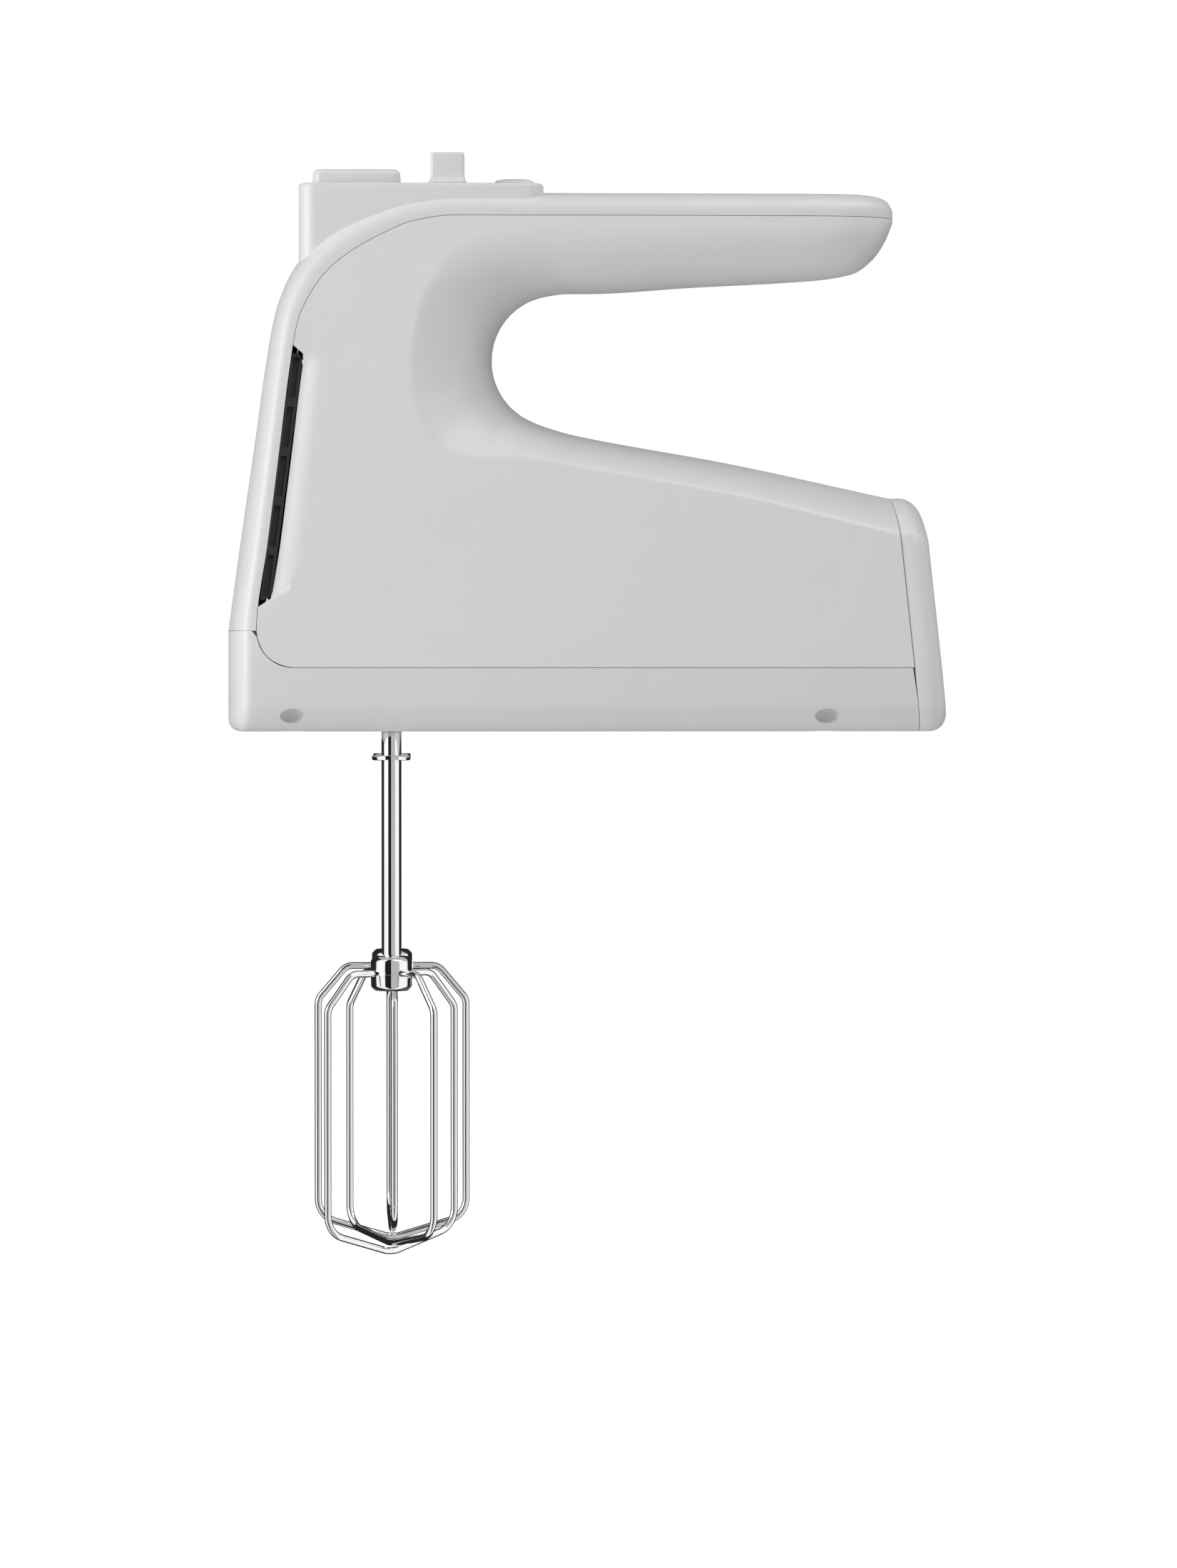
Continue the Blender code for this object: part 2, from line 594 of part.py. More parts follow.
def build_housing():
    """The covers, vents, gland and screws."""
    top = make_object("top_cover", shell(cover_grid(0.0), cover_grid(WALL)), "white_abs")
    high, low = PLATFORM_TOP + 5, SEAM_TOP + 1
    cut(top, "eject_opening", box(
        (EJECT_X - EJECT_LONG / 2 - GAP, EJECT_X + EJECT_LONG / 2 + GAP),
        (-EJECT_HALF_Y - GAP, EJECT_HALF_Y + GAP), (low, high)))
    slot = SLIDER_TRAVEL / 2 + STEM_HALF_Y + RUN
    cut(top, "slider_slot", box(
        (SLIDER_X - STEM_HALF_X - RUN, SLIDER_X + STEM_HALF_X + RUN), (-slot, slot), (low, high)))
    cut(top, "turbo_opening", box(
        (TURBO_X - TURBO_LONG / 2 - GAP, TURBO_X + TURBO_LONG / 2 + GAP),
        (-TURBO_HALF_Y - GAP, TURBO_HALF_Y + GAP), (low, high)))

    base = make_object("base_tray", loft(base_rings()), "white_abs")
    for side, name in SIDES:
        centre = (0, side * SPINDLE_Y, 0)
        cut(base, name + "_socket", rod("Z", centre, BUSH_R + GAP, -1, WALL + 2, 24))
        for x, place in SCREWS:
            middle = (x, side * (float(half_width(x, 0)) - SCREW_INSET), 0)
            weld(base, f"{place}_{name}_boss", rod("Z", middle, 5.0, WALL - 1, SEAM_LOW - 3, 12))
            cut(base, f"{place}_{name}_well", rod("Z", middle, 3.5, -1, SCREW_WELL, 12))
            cut(base, f"{place}_{name}_hole", rod("Z", middle, SCREW_R + GAP, 0, SEAM_LOW, 12))
            head_top = SCREW_WELL - GAP
            screw = [(SCREW_HEAD_R, head_top - 2.0), (SCREW_HEAD_R, head_top), (SCREW_R, head_top),
                (SCREW_R, SEAM_LOW - 2)]
            make_object(f"case_screw_{place}_{name}", loft(turned(screw, "Z", middle, 12)), "steel")
    lean = [(heel_seam(z) - GAP, y, z) for z in (-5, 40) for y in (-60, 60)]
    far = [(HEEL_X + 20, y, z) for z in (-5, 40) for y in (-60, 60)]
    ring = [lean[0], lean[1], lean[3], lean[2]], [far[0], far[1], far[3], far[2]]
    cut(base, "heel_plane", loft(np.array(ring)))

    make_object("heel_cover", loft(heel_rings()), "white_abs")

    for side, name in SIDES:
        walls = shell(side_grid(side, 0.0), side_grid(side, WALL))
        panel = make_object(name + "_side_shell", walls, "white_abs")
        near, far = side * (BODY_WIDTH / 2 + 5), side * 15
        cut(panel, name + "_vent_opening",
            vent_strip(-4, VENT_WIDTH + GAP + 0.1, VENT_LOW - GAP, VENT_HIGH + GAP, (near, far)))
        face = [side * (half_width(-30.0, z) - DISH_DEPTH) for z in (VENT_LOW, VENT_HIGH)]
        plate = []
        for inset in (0.0, VENT_THICK):
            for z, y in zip((VENT_LOW, VENT_HIGH), face):
                seam = float(vent_seam(z)) + 0.1
                plate.append([(seam, y - side * inset, z), (seam + VENT_WIDTH, y - side * inset, z)])
        (a, b), (c, d), (e, f), (g, h) = plate
        grille = make_object(name + "_vent_grille", loft([[a, b, d, c], [e, f, h, g]]), "grey_abs")
        pitch = (VENT_HIGH - VENT_LOW) / VENT_SLOTS
        slots = []
        for k in range(VENT_SLOTS):
            low, high = VENT_LOW + k * pitch + VENT_RIB / 2, VENT_LOW + (k + 1) * pitch - VENT_RIB / 2
            slots.append(vent_strip(0.8, VENT_WIDTH - 0.6, low, high, (near, far)))
        cut(grille, name + "_vent_slots", merge(*slots))

    right = bpy.data.objects["right_side_shell"]
    gland_y = float(half_width(GLAND_X, GLAND_Z))
    centre = (GLAND_X, 0, GLAND_Z)
    cut(right, "gland_hole", rod("Y", centre, 5.3, gland_y - 12, gland_y + 8, 16))
    make_object("cord_gland", sleeve("Y", centre, 5.0, 3.6, gland_y - 6, gland_y + 1.5, 16), "rubber")


def worm_ring(x, angle):
    """One ring of the worm: two threads on a root, turned to its place on the helix."""
    low, high = WORM_PITCH_R - TOOTH_HEIGHT - TOOTH_ROOT, WORM_PITCH_R + TOOTH_HEIGHT
    lean = math.tan(math.radians(20))
    crest = (THREAD_THICK / 2 - TOOTH_HEIGHT * lean) / WORM_LEAD * 2 * math.pi
    root = (THREAD_THICK / 2 + (TOOTH_HEIGHT + TOOTH_ROOT) * lean) / WORM_LEAD * 2 * math.pi
    offsets = [(-root, low), (-crest, high), (crest, high), (root, low)]
    offsets += [(root + (2 * math.pi / WORM_STARTS - 2 * root) * k, low) for k in (1 / 3, 2 / 3)]
    turn = [angle + start * 2 * math.pi / WORM_STARTS + a for start in range(WORM_STARTS) for a, _ in offsets]
    radius = [r for _ in range(WORM_STARTS) for _, r in offsets]
    return on_axis("X", np.array(radius), x, np.array(turn), (0, 0, AXIS_Z))


def worm_shaft():
    """The motor's shaft with the worm rolled into it, as one lofted bar."""
    around = WORM_STARTS * 6
    circle = np.linspace(0, 2 * math.pi, around, endpoint=False)
    ends = (-WEB_X - BEARING_WIDTH, REAR_BEARING_X + BEARING_WIDTH)
    rings = [on_axis("X", SHAFT_R, x, circle, (0, 0, AXIS_Z)) for x in (ends[0], -WORM_HALF)]
    steps = round(2 * WORM_HALF / WORM_LEAD * 12)
    for x in np.linspace(-WORM_HALF, WORM_HALF, steps + 1):
        rings.append(worm_ring(x, 2 * math.pi * x / WORM_LEAD))
    first = 2 * math.pi * WORM_HALF / WORM_LEAD
    rings[0] = on_axis("X", SHAFT_R, ends[0], circle - first, (0, 0, AXIS_Z))
    rings[1] = on_axis("X", SHAFT_R, -WORM_HALF, circle - first, (0, 0, AXIS_Z))
    rings += [on_axis("X", SHAFT_R, x, circle + first, (0, 0, AXIS_Z)) for x in (WORM_HALF, ends[1])]
    return loft(rings)


def worm_wheel(side):
    """A helical wheel with a tooth space facing the worm, and a bore for its sleeve."""
    low, high = WHEEL_PITCH_R - TOOTH_HEIGHT - TOOTH_ROOT, WHEEL_PITCH_R + TOOTH_HEIGHT
    lean = math.tan(math.radians(20))
    tip = (THREAD_THICK / 2 - TOOTH_HEIGHT * lean) / high
    root = (THREAD_THICK / 2 + (TOOTH_HEIGHT + TOOTH_ROOT) * lean) / low
    pitch = 2 * math.pi / WHEEL_TEETH
    twist = WORM_LEAD / (2 * math.pi * WORM_PITCH_R) / WHEEL_PITCH_R
    tooth = np.array([(-root, low), (-tip, high), (tip, high), (root, low)])
    facing = -side * math.pi / 2
    angle = (facing + (np.arange(WHEEL_TEETH)[:, None] + 0.5) * pitch + tooth[:, 0]).ravel()
    radius = np.tile(tooth[:, 1], WHEEL_TEETH)
    heights = np.array([-WHEEL_THICK / 2, WHEEL_THICK / 2])
    centre = (0, side * SPINDLE_Y, AXIS_Z)
    rings = [on_axis("Z", radius, h, angle + twist * h, centre) for h in heights]
    bore = [on_axis("Z", SLEEVE_R + GAP, h, angle + twist * h, centre) for h in heights[::-1]]
    return loft(rings + bore, closed=True)


def build_drive():
    """Motor, worm and the two spindles with their wheels."""
    axis = pivot("motor_axis", 0, 0, AXIS_Z)
    centre = (0, 0, AXIS_Z)
    make_object("worm_shaft", worm_shaft(), "steel", axis)
    bore = SHAFT_R + GAP
    make_object("armature_core",
        sleeve("X", centre, ROTOR_R, bore, CORE_FRONT, CORE_REAR, 24), "lamination", axis)
    ends = (("front", CORE_FRONT - 7, CORE_FRONT - GAP), ("rear", CORE_REAR + GAP, CORE_REAR + 7))
    for place, low, high in ends:
        make_object("armature_winding_" + place,
            sleeve("X", centre, COIL_IN - 0.5, bore, low, high, 16), "copper", axis)
    make_object("commutator",
        sleeve("X", centre, COMMUTATOR_R, bore, COMMUTATOR_X - 6, COMMUTATOR_X + 6, 24), "copper", axis)
    disc = sleeve("X", centre, FAN_R, bore, FAN_X - 5, FAN_X - 3.4, 24)
    fan = make_object("cooling_fan", disc, "acetal", axis)
    blades = 7
    turn = 2 * math.pi / blades
    outline = []
    for k in range(blades):
        outline += [(5.5, (k - 0.35) * turn), (6.5, k * turn - 0.12), (FAN_R - 0.4, k * turn - 0.05),
            (FAN_R - 0.4, k * turn + 0.05), (6.5, k * turn + 0.12), (5.5, (k + 0.35) * turn)]
    radius, angle = np.array(outline).T
    star = [on_axis("X", radius, x, angle, centre) for x in (FAN_X - 4, FAN_X + 4)]
    hole = [on_axis("X", bore, x, angle, centre) for x in (FAN_X + 4, FAN_X - 4)]
    weld(fan, "fan_blades", loft(star + hole, closed=True))

    core = make_object("stator_core", box((CORE_FRONT, CORE_REAR), (-CORE_HALF_Y, CORE_HALF_Y),
        (CORE_LOW, 2 * AXIS_Z - CORE_LOW)), "lamination")
    cut(core, "stator_bore", rod("X", centre, ROTOR_R + AIR_GAP, CORE_FRONT - 5, CORE_REAR + 5, 24))
    for end, place in ((-1, "lower"), (1, "upper")):
        coil_z = sorted((AXIS_Z + end * COIL_IN, AXIS_Z + end * COIL_OUT))
        window_z = (coil_z[0] - 0.5, coil_z[1] + 0.5)
        coil = make_object(place + "_field_coil", box((CORE_FRONT - 5, CORE_REAR + 5),
            (-COIL_HALF_Y, COIL_HALF_Y), coil_z), "copper")
        cut(coil, place + "_pole", box((CORE_FRONT - GAP, CORE_REAR + GAP),
            (-POLE_HALF_Y - GAP, POLE_HALF_Y + GAP), (coil_z[0] - 3, coil_z[1] + 3)))
        for side, name in SIDES:
            edges = sorted((side * POLE_HALF_Y, side * (COIL_HALF_Y + GAP)))
            cut(core, f"{place}_{name}_window", box((CORE_FRONT - 5, CORE_REAR + 5), edges, window_z))

    for name, x in (("front_bearing", -WEB_X), ("middle_bearing", WEB_X), ("rear_bearing", REAR_BEARING_X)):
        half = BEARING_WIDTH / 2
        make_object(name, sleeve("X", (x, 0, AXIS_Z), BEARING_R, bore, -half, half, 20), "bronze")
    rear = make_object("rear_motor_bracket", box((REAR_BEARING_X - 1.5, REAR_BEARING_X + 1.5),
        (-CORE_HALF_Y, CORE_HALF_Y), (WALL + GAP, AXIS_Z + 16)), "zinc")
    cut(rear, "rear_seat", rod("X", (REAR_BEARING_X, 0, AXIS_Z), BEARING_R + GAP, -8, 8, 20))

    for side, name in SIDES:
        brush = sorted((side * (COMMUTATOR_R + GAP), side * (COMMUTATOR_R + 15)))
        tube_y = sorted((side * (COMMUTATOR_R + 2), side * (COMMUTATOR_R + 17)))
        half = BRUSH / 2
        make_object(name + "_carbon_brush", box((COMMUTATOR_X - half, COMMUTATOR_X + half), brush,
            (AXIS_Z - half, AXIS_Z + half)), "carbon")
        inside, outside = half + GAP, half + GAP + 1.2
        holder = make_object(name + "_brush_holder", box((COMMUTATOR_X - outside, COMMUTATOR_X + outside),
            tube_y, (AXIS_Z - outside, AXIS_Z + outside)), "acetal")
        cut(holder, name + "_brush_way", box((COMMUTATOR_X - inside, COMMUTATOR_X + inside),
            (tube_y[0] - 5, tube_y[1] + 5), (AXIS_Z - inside, AXIS_Z + inside)))

        spindle = pivot(name + "_spindle_axis", 0, side * SPINDLE_Y, 0)
        middle = (0, side * SPINDLE_Y, 0)
        make_object(name + "_worm_wheel", worm_wheel(side), "acetal", spindle)
        make_object(name + "_drive_sleeve",
            sleeve("Z", middle, SLEEVE_R, SLEEVE_BORE_R, SLEEVE_LOW, SLEEVE_HIGH, 20), "steel", spindle)
        make_object(name + "_spindle_bush",
            sleeve("Z", middle, BUSH_R, SLEEVE_R + RUN, GAP, 9.0, 20), "bronze")

    plate_z = AXIS_Z + 8.5
    frame = make_object("gearbox_frame", box((-WEB_X - 2, WEB_X + 2), (-FRAME_HALF_Y, FRAME_HALF_Y),
        (plate_z, plate_z + 3.5)), "zinc")
    for end, place in ((-1, "front"), (1, "rear")):
        web = sorted((end * (WEB_X - 2), end * (WEB_X + 2)))
        weld(frame, place + "_web", box(web, (-10, 10), (WALL + GAP, plate_z + 1)))
        cut(frame, place + "_seat", rod("X", (end * WEB_X, 0, AXIS_Z), BEARING_R + GAP, -8, 8, 20))
    for side, name in SIDES:
        cut(frame, name + "_upper_bush",
            rod("Z", (0, side * SPINDLE_Y, 0), SLEEVE_R + RUN, plate_z - 5, plate_z + 9))

    board_z = 2 * AXIS_Z - CORE_LOW + GAP
    make_object("control_board", box((CORE_FRONT - 18, CORE_REAR + 16), (-24, 24),
        (board_z, board_z + 1.6)), "board")
    make_object("suppression_capacitor", box((CORE_FRONT - 12, CORE_FRONT - 3), (-9, 9),
        (board_z + 1.6 + GAP, board_z + 13)), "carbon")


def build_whisks():
    """The two whisks: shaft, collar, hub and two crossing wire loops each."""
    for side, name in SIDES:
        middle = (0, side * SPINDLE_Y, 0)
        axis = pivot(name + "_whisk_axis", *middle)
        make_object(name + "_whisk_shaft",
            rod("Z", middle, WHISK_SHAFT_R, HUB_HIGH + GAP, SHAFT_TOP, 16, 0.8), "chrome", axis)
        make_object(name + "_whisk_collar",
            sleeve("Z", middle, COLLAR_R, WHISK_SHAFT_R + GAP, COLLAR_LOW, COLLAR_HIGH, 20), "chrome", axis)
        make_object(name + "_whisk_hub", rod("Z", middle, HUB_R, HUB_LOW, HUB_HIGH, 20, 1.1), "chrome", axis)
        for loop, letter in enumerate("ab"):
            turn = math.radians(WHISK_TURN[side] + 90 * loop)
            tip = TIP_Z + loop * (2 * WIRE_R + GAP)
            half = [(HUB_R + GAP, ARM_Z), (ARM_R, ARM_Z), (CAGE_R, SHOULDER_Z), (CAGE_R, FOOT_Z), (1.5, tip)]
            corners = half + [(-r, z) for r, z in reversed(half)]
            bends = [4.0, 4.0, 6.6, 5.0, 5.0, 6.6, 4.0, 4.0]
            flat = bent_path(corners, bends, 3)
            out = np.array([math.cos(turn), math.sin(turn), 0.0])
            path = flat[:, :1] * out + flat[:, 1:] * np.array([0, 0, 1.0]) + np.array(middle)
            across = (-math.sin(turn), math.cos(turn), 0.0)
            make_object(f"{name}_whisk_loop_{letter}", tube(path, WIRE_R, across), "chrome", axis)
        pin = pivot(name + "_pin_axis", *middle)
        pin_r, head_r, head_low = WHISK_SHAFT_R - 0.1, WHISK_SHAFT_R + 1.3, FORK_Z - 2.3
        profile = [(pin_r, SHAFT_TOP + GAP), (pin_r, head_low), (head_r, head_low), (head_r, FORK_Z - GAP)]
        make_object(name + "_push_pin", loft(turned(profile, "Z", middle, 16)), "steel", pin)


def spring(centre, radius, wire, low, high, turns):
    """A coil spring as a helical tube between two heights."""
    count = round(turns * 10)
    angle = np.linspace(0, 2 * math.pi * turns, count + 1)
    rise = (high - low - 2 * wire) / (2 * math.pi * turns)
    out = np.stack([np.cos(angle), np.sin(angle), np.zeros_like(angle)], axis=-1)
    climb = np.stack([0 * angle, 0 * angle, low + wire + rise * angle], axis=-1)
    path = radius * out + np.array(centre) + climb
    up = np.stack([rise * np.sin(angle), -rise * np.cos(angle), radius * np.ones_like(angle)], axis=-1)
    up /= np.linalg.norm(up, axis=1, keepdims=True)
    ring = np.linspace(0, 2 * math.pi, 5, endpoint=False)[None, :, None]
    return loft(path[:, None] + wire * (np.cos(ring) * out[:, None] + np.sin(ring) * up[:, None]))


def build_controls():
    """Eject button and fork, speed slider, turbo button and their switches."""
    top = BRACKET_Z + BRACKET_THICK
    bracket = make_object("control_bracket", box((-18, 43), (-12, 12), (BRACKET_Z, top)), "grey_abs")
    half = ROD / 2
    cut(bracket, "rod_way", box((EJECT_X - half - RUN, EJECT_X + half + RUN), (-half - RUN, half + RUN),
        (BRACKET_Z - 5, top + 5)))

    eject = pivot("eject_axis", EJECT_X, 0, EJECT_TOP)
    ends = (EJECT_X - EJECT_LONG / 2, EJECT_X + EJECT_LONG / 2)
    button = make_object("eject_button", box(ends, (-EJECT_HALF_Y, EJECT_HALF_Y), (EJECT_LOW, EJECT_TOP)),
        "white_abs", eject)
    bevel(button, 1.6, 1)
    fork = make_object("eject_fork", box((EJECT_X - half, EJECT_X + half), (-half, half),
        (FORK_Z, EJECT_LOW - GAP)), "acetal", eject)
    for name, shape in (
            ("fork_foot", box((EJECT_X - half, 4), (-half - 2, half + 2), (FORK_Z, FORK_Z + 5))),
            ("fork_bar", box((-4, 4), (-SPINDLE_Y - 4, SPINDLE_Y + 4), (FORK_Z, FORK_Z + 4)))):
        weld(fork, name, shape)
    make_object("eject_spring", spring((EJECT_X, 0, 0), 5.6, 0.6, top + GAP, EJECT_LOW - GAP, 4), "steel")

    slide = pivot("slider_axis", SLIDER_X, SLIDER_REST_Y, PLATFORM_TOP)
    y = SLIDER_REST_Y
    foot_z = PLATFORM_TOP + GAP
    slider = make_object("speed_slider", box((SLIDER_X - 5.3, SLIDER_X + 5.3), (y - 5, y + 5),
        (foot_z, foot_z + 1.8)), "white_abs", slide)
    weld(slider, "slider_tab", box((SLIDER_X - 4.7, SLIDER_X + 4.7), (y - 3.4, y + 3.4),
        (foot_z + 0.5, SLIDER_TOP)))
    weld(slider, "slider_stem", box((SLIDER_X - STEM_HALF_X, SLIDER_X + STEM_HALF_X),
        (y - STEM_HALF_Y, y + STEM_HALF_Y),
        (CONTACT_Z + 4, foot_z + 1)))
    make_object("slider_contact", box((SLIDER_X - 6, SLIDER_X + 6), (y - 3, y + 3),
        (CONTACT_Z, CONTACT_Z + 4 - GAP)), "grey_abs", slide)
    make_object("speed_switch", box((SLIDER_X - 9, SLIDER_X + 9), (-13.5, 13.5),
        (top + GAP, CONTACT_Z - GAP)), "carbon")

    turbo = pivot("turbo_axis", TURBO_X, 0, TURBO_TOP)
    ends = (TURBO_X - TURBO_LONG / 2, TURBO_X + TURBO_LONG / 2)
    button = make_object("turbo_button", box(ends, (-TURBO_HALF_Y, TURBO_HALF_Y), (TURBO_LOW, TURBO_TOP)),
        "white_abs", turbo)
    bevel(button, 1.5, 1)
    switch_top = TURBO_LOW - 7.0
    make_object("turbo_switch", box((TURBO_X - 5.5, TURBO_X + 5.5), (-5, 5), (top + GAP, switch_top)),
        "carbon")
    coil = spring((TURBO_X, 0, 0), 3.0, 0.4, switch_top + GAP, TURBO_LOW - GAP, 4)
    make_object("turbo_spring", coil, "steel")


for item in list(bpy.data.objects):
    bpy.data.objects.remove(item, do_unlink=True)
build_housing()
build_drive()
build_whisks()
build_controls()
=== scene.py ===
"""A white hand mixer with two chromed balloon whisks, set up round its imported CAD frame.

Lengths are in millimetres unless a name says otherwise; the meshes are made in metres.
"""
import math
import json

import bpy
import numpy as np
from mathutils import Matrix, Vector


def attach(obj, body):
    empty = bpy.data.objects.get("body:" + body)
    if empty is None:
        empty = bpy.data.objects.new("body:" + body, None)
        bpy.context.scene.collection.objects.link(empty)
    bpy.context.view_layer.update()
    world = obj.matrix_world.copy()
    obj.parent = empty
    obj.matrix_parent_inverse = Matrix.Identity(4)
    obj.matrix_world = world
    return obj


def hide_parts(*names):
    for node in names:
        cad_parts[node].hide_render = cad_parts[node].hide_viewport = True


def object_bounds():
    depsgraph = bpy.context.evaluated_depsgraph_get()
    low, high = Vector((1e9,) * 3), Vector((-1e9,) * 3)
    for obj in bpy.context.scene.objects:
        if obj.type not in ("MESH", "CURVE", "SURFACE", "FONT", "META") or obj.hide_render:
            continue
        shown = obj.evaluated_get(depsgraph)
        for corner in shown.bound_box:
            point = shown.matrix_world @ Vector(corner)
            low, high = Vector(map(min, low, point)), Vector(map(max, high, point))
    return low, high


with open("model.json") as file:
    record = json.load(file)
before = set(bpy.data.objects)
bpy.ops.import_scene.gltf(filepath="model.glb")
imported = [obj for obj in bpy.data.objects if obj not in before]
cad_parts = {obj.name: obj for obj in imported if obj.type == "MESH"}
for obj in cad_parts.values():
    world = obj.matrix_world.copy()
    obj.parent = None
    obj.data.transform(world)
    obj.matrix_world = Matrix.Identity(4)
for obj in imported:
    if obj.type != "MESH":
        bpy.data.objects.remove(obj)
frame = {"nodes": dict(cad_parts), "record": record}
cad_bounds = [[float(v) for v in corner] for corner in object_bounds()]

# ---- Viewpoint
# A long lens at whisk-socket height, a little in front of the mixer's middle and turned
# slightly towards the heel, so the far whisk shows just right of the near one.
MM = 0.001
camera_data = bpy.data.cameras.new("viewpoint")
camera_data.lens = 135.0
camera_data.sensor_fit = "VERTICAL"
camera_data.sensor_height = 36.0
camera = bpy.data.objects.new("viewpoint", camera_data)
bpy.context.scene.collection.objects.link(camera)
eye = np.array([7.8, -1649.0, 16.8]) * MM
aim = np.array([55.2, 0.0, -15.1]) * MM
forward = (aim - eye) / np.linalg.norm(aim - eye)
camera.location = eye
camera.rotation_euler = (math.pi / 2 + math.asin(forward[2]), 0.0, math.atan2(-forward[0], forward[1]))
bpy.context.scene.camera = camera
bpy.context.scene.view_settings.view_transform = "Standard"


# ---- Studio
# A white sweep: floor and back wall in one matte sheet, a wide overhead box, a bright
# panel on the left, and black cards that only polished metal picks up.
class Signal:
    """One output in a node tree. Arithmetic on it adds Math nodes, numbers on either side."""

    def __init__(self, tree, socket):
        self.tree, self.socket = tree, socket

    def node(self, kind, settings, inputs, output=0):
        """Any other node: its type, its settings (set first), its sockets' values or links."""
        made = self.tree.nodes.new(kind)
        for key, value in settings.items():
            if key == "stops":
                while len(made.color_ramp.elements) < len(value):
                    made.color_ramp.elements.new(0.5)
                for stop, (place, colour) in zip(made.color_ramp.elements, value):
                    stop.position, stop.color = place, colour
            else:
                setattr(made, key, value)
        for key, value in inputs.items():
            socket = made.inputs[key]
            if isinstance(value, Signal):
                self.tree.links.new(value.socket, socket)
            else:
                socket.default_value = value
        return Signal(self.tree, made.outputs[output]) if made.outputs else made

    def maths(self, operation, first, second=0.0, third=0.0):
        return self.node("ShaderNodeMath", {"operation": operation}, {0: first, 1: second, 2: third})

    def __add__(self, other):
        return self.maths("ADD", self, other)

    def __sub__(self, other):
        return self.maths("SUBTRACT", self, other)

    def __rsub__(self, other):
        return self.maths("SUBTRACT", other, self)

    def __mul__(self, other):
        return self.maths("MULTIPLY", self, other)

    def __truediv__(self, other):
        return self.maths("DIVIDE", self, other)

    def __rtruediv__(self, other):
        return self.maths("DIVIDE", other, self)

    def __pow__(self, other):
        return self.maths("POWER", self, other)

    def __abs__(self):
        return self.maths("ABSOLUTE", self)

    __radd__, __rmul__ = __add__, __mul__

    def between(self, low, high, soft):
        """1 inside low..high, 0 outside, with a ramp soft wide at each end."""
        rise = self.node("ShaderNodeMapRange", {"interpolation_type": "SMOOTHSTEP"},
            {"Value": self, "From Min": low - soft, "From Max": low + soft})
        fall = self.node("ShaderNodeMapRange", {"interpolation_type": "SMOOTHSTEP"},
            {"Value": self, "From Min": high - soft, "From Max": high + soft})
        return rise * (1 - fall)

    def mix(self, first, second):
        """Two colours mixed by this value."""
        return self.node("ShaderNodeMix", {"data_type": "RGBA"}, {0: self, 6: first, 7: second}, 2)

    def noise(self, scale, detail=2.0, roughness=0.5):
        """Noise over these coordinates, centred on 0."""
        return self.node("ShaderNodeTexNoise", {},
            {"Vector": self, "Scale": scale, "Detail": detail, "Roughness": roughness}) - 0.5


def place_light(name, centre, target, width, height, power, colour=(1.0, 1.0, 1.0)):
    """A rectangular soft box at centre, facing target, in metres and watts."""
    data = bpy.data.lights.new(name, "AREA")
    data.shape = "RECTANGLE"
    data.size, data.size_y, data.energy, data.color = width, height, power, colour
    light = bpy.data.objects.new(name, data)
    bpy.context.scene.collection.objects.link(light)
    towards = np.asarray(target) - np.asarray(centre)
    towards = towards / np.linalg.norm(towards)
    light.location = centre
    light.rotation_euler = (math.acos(-towards[2]), 0.0, math.atan2(towards[1], towards[0]) - math.pi / 2)
    return light


world = bpy.data.worlds.new("studio")
bpy.context.scene.world = world
world.use_nodes = True
world.cycles.sampling_method = "NONE"
world.node_tree.nodes.clear()
start = Signal(world.node_tree, None)
rays = start.node("ShaderNodeLightPath", {}, {})
seen = Signal(world.node_tree, rays.socket.node.outputs["Is Camera Ray"])
mirrored = Signal(world.node_tree, rays.socket.node.outputs["Is Glossy Ray"])
direction = start.node("ShaderNodeTexCoord", {}, {}, "Generated")
parts = direction.node("ShaderNodeSeparateXYZ", {}, {0: direction}).socket.node.outputs
east, north, up = (Signal(world.node_tree, parts[axis]) for axis in "XYZ")


def cards(east, north):
    """What polished metal sees at each bearing about the whisks: white, with a black card
    left of the lens, a grey one right of it, and black beyond the sweep."""
    bearing = east.maths("ARCTAN2", east, 0.0 - north) * (180 / math.pi)
    black, grey = bearing.between(-36.0, -1.0, 1.5), bearing.between(-1.0, 47.0, 3.0)
    edges = bearing.between(-200.0, -93.0, 7.0) + bearing.between(103.0, 200.0, 7.0)
    return 1 - (black * 0.985 + grey * 0.5 + edges * 0.98)


fill = 0.325 + up * 0.03 + north * 0.05 - east * 0.16
level = seen * 1.0 + (1 - seen) * (mirrored * cards(east, north) * 1.05 + (1 - mirrored) * fill)
shade = level.node("ShaderNodeBackground", {}, {"Color": (1.0, 1.0, 1.0, 1.0), "Strength": level})
shade.node("ShaderNodeOutputWorld", {}, {"Surface": shade})


def skin(name, points, faces, material, body, *nodes, slot="white_abs"):
    """One finished piece from points in millimetres; it rides a body and stands for CAD nodes."""
    mesh = bpy.data.meshes.new(name)
    faces = faces if isinstance(faces, list) else faces.tolist()
    mesh.from_pydata((np.asarray(points).reshape(-1, 3) * MM).tolist(), [], faces)
    mesh.update()
    mesh.shade_smooth()
    mesh.set_sharp_from_angle(angle=math.radians(38))
    mesh.materials.append(material)
    piece = bpy.data.objects.new(name, mesh)
    bpy.context.scene.collection.objects.link(piece)
    if body:
        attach(piece, body)
    if nodes:
        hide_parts(*nodes)
    return piece


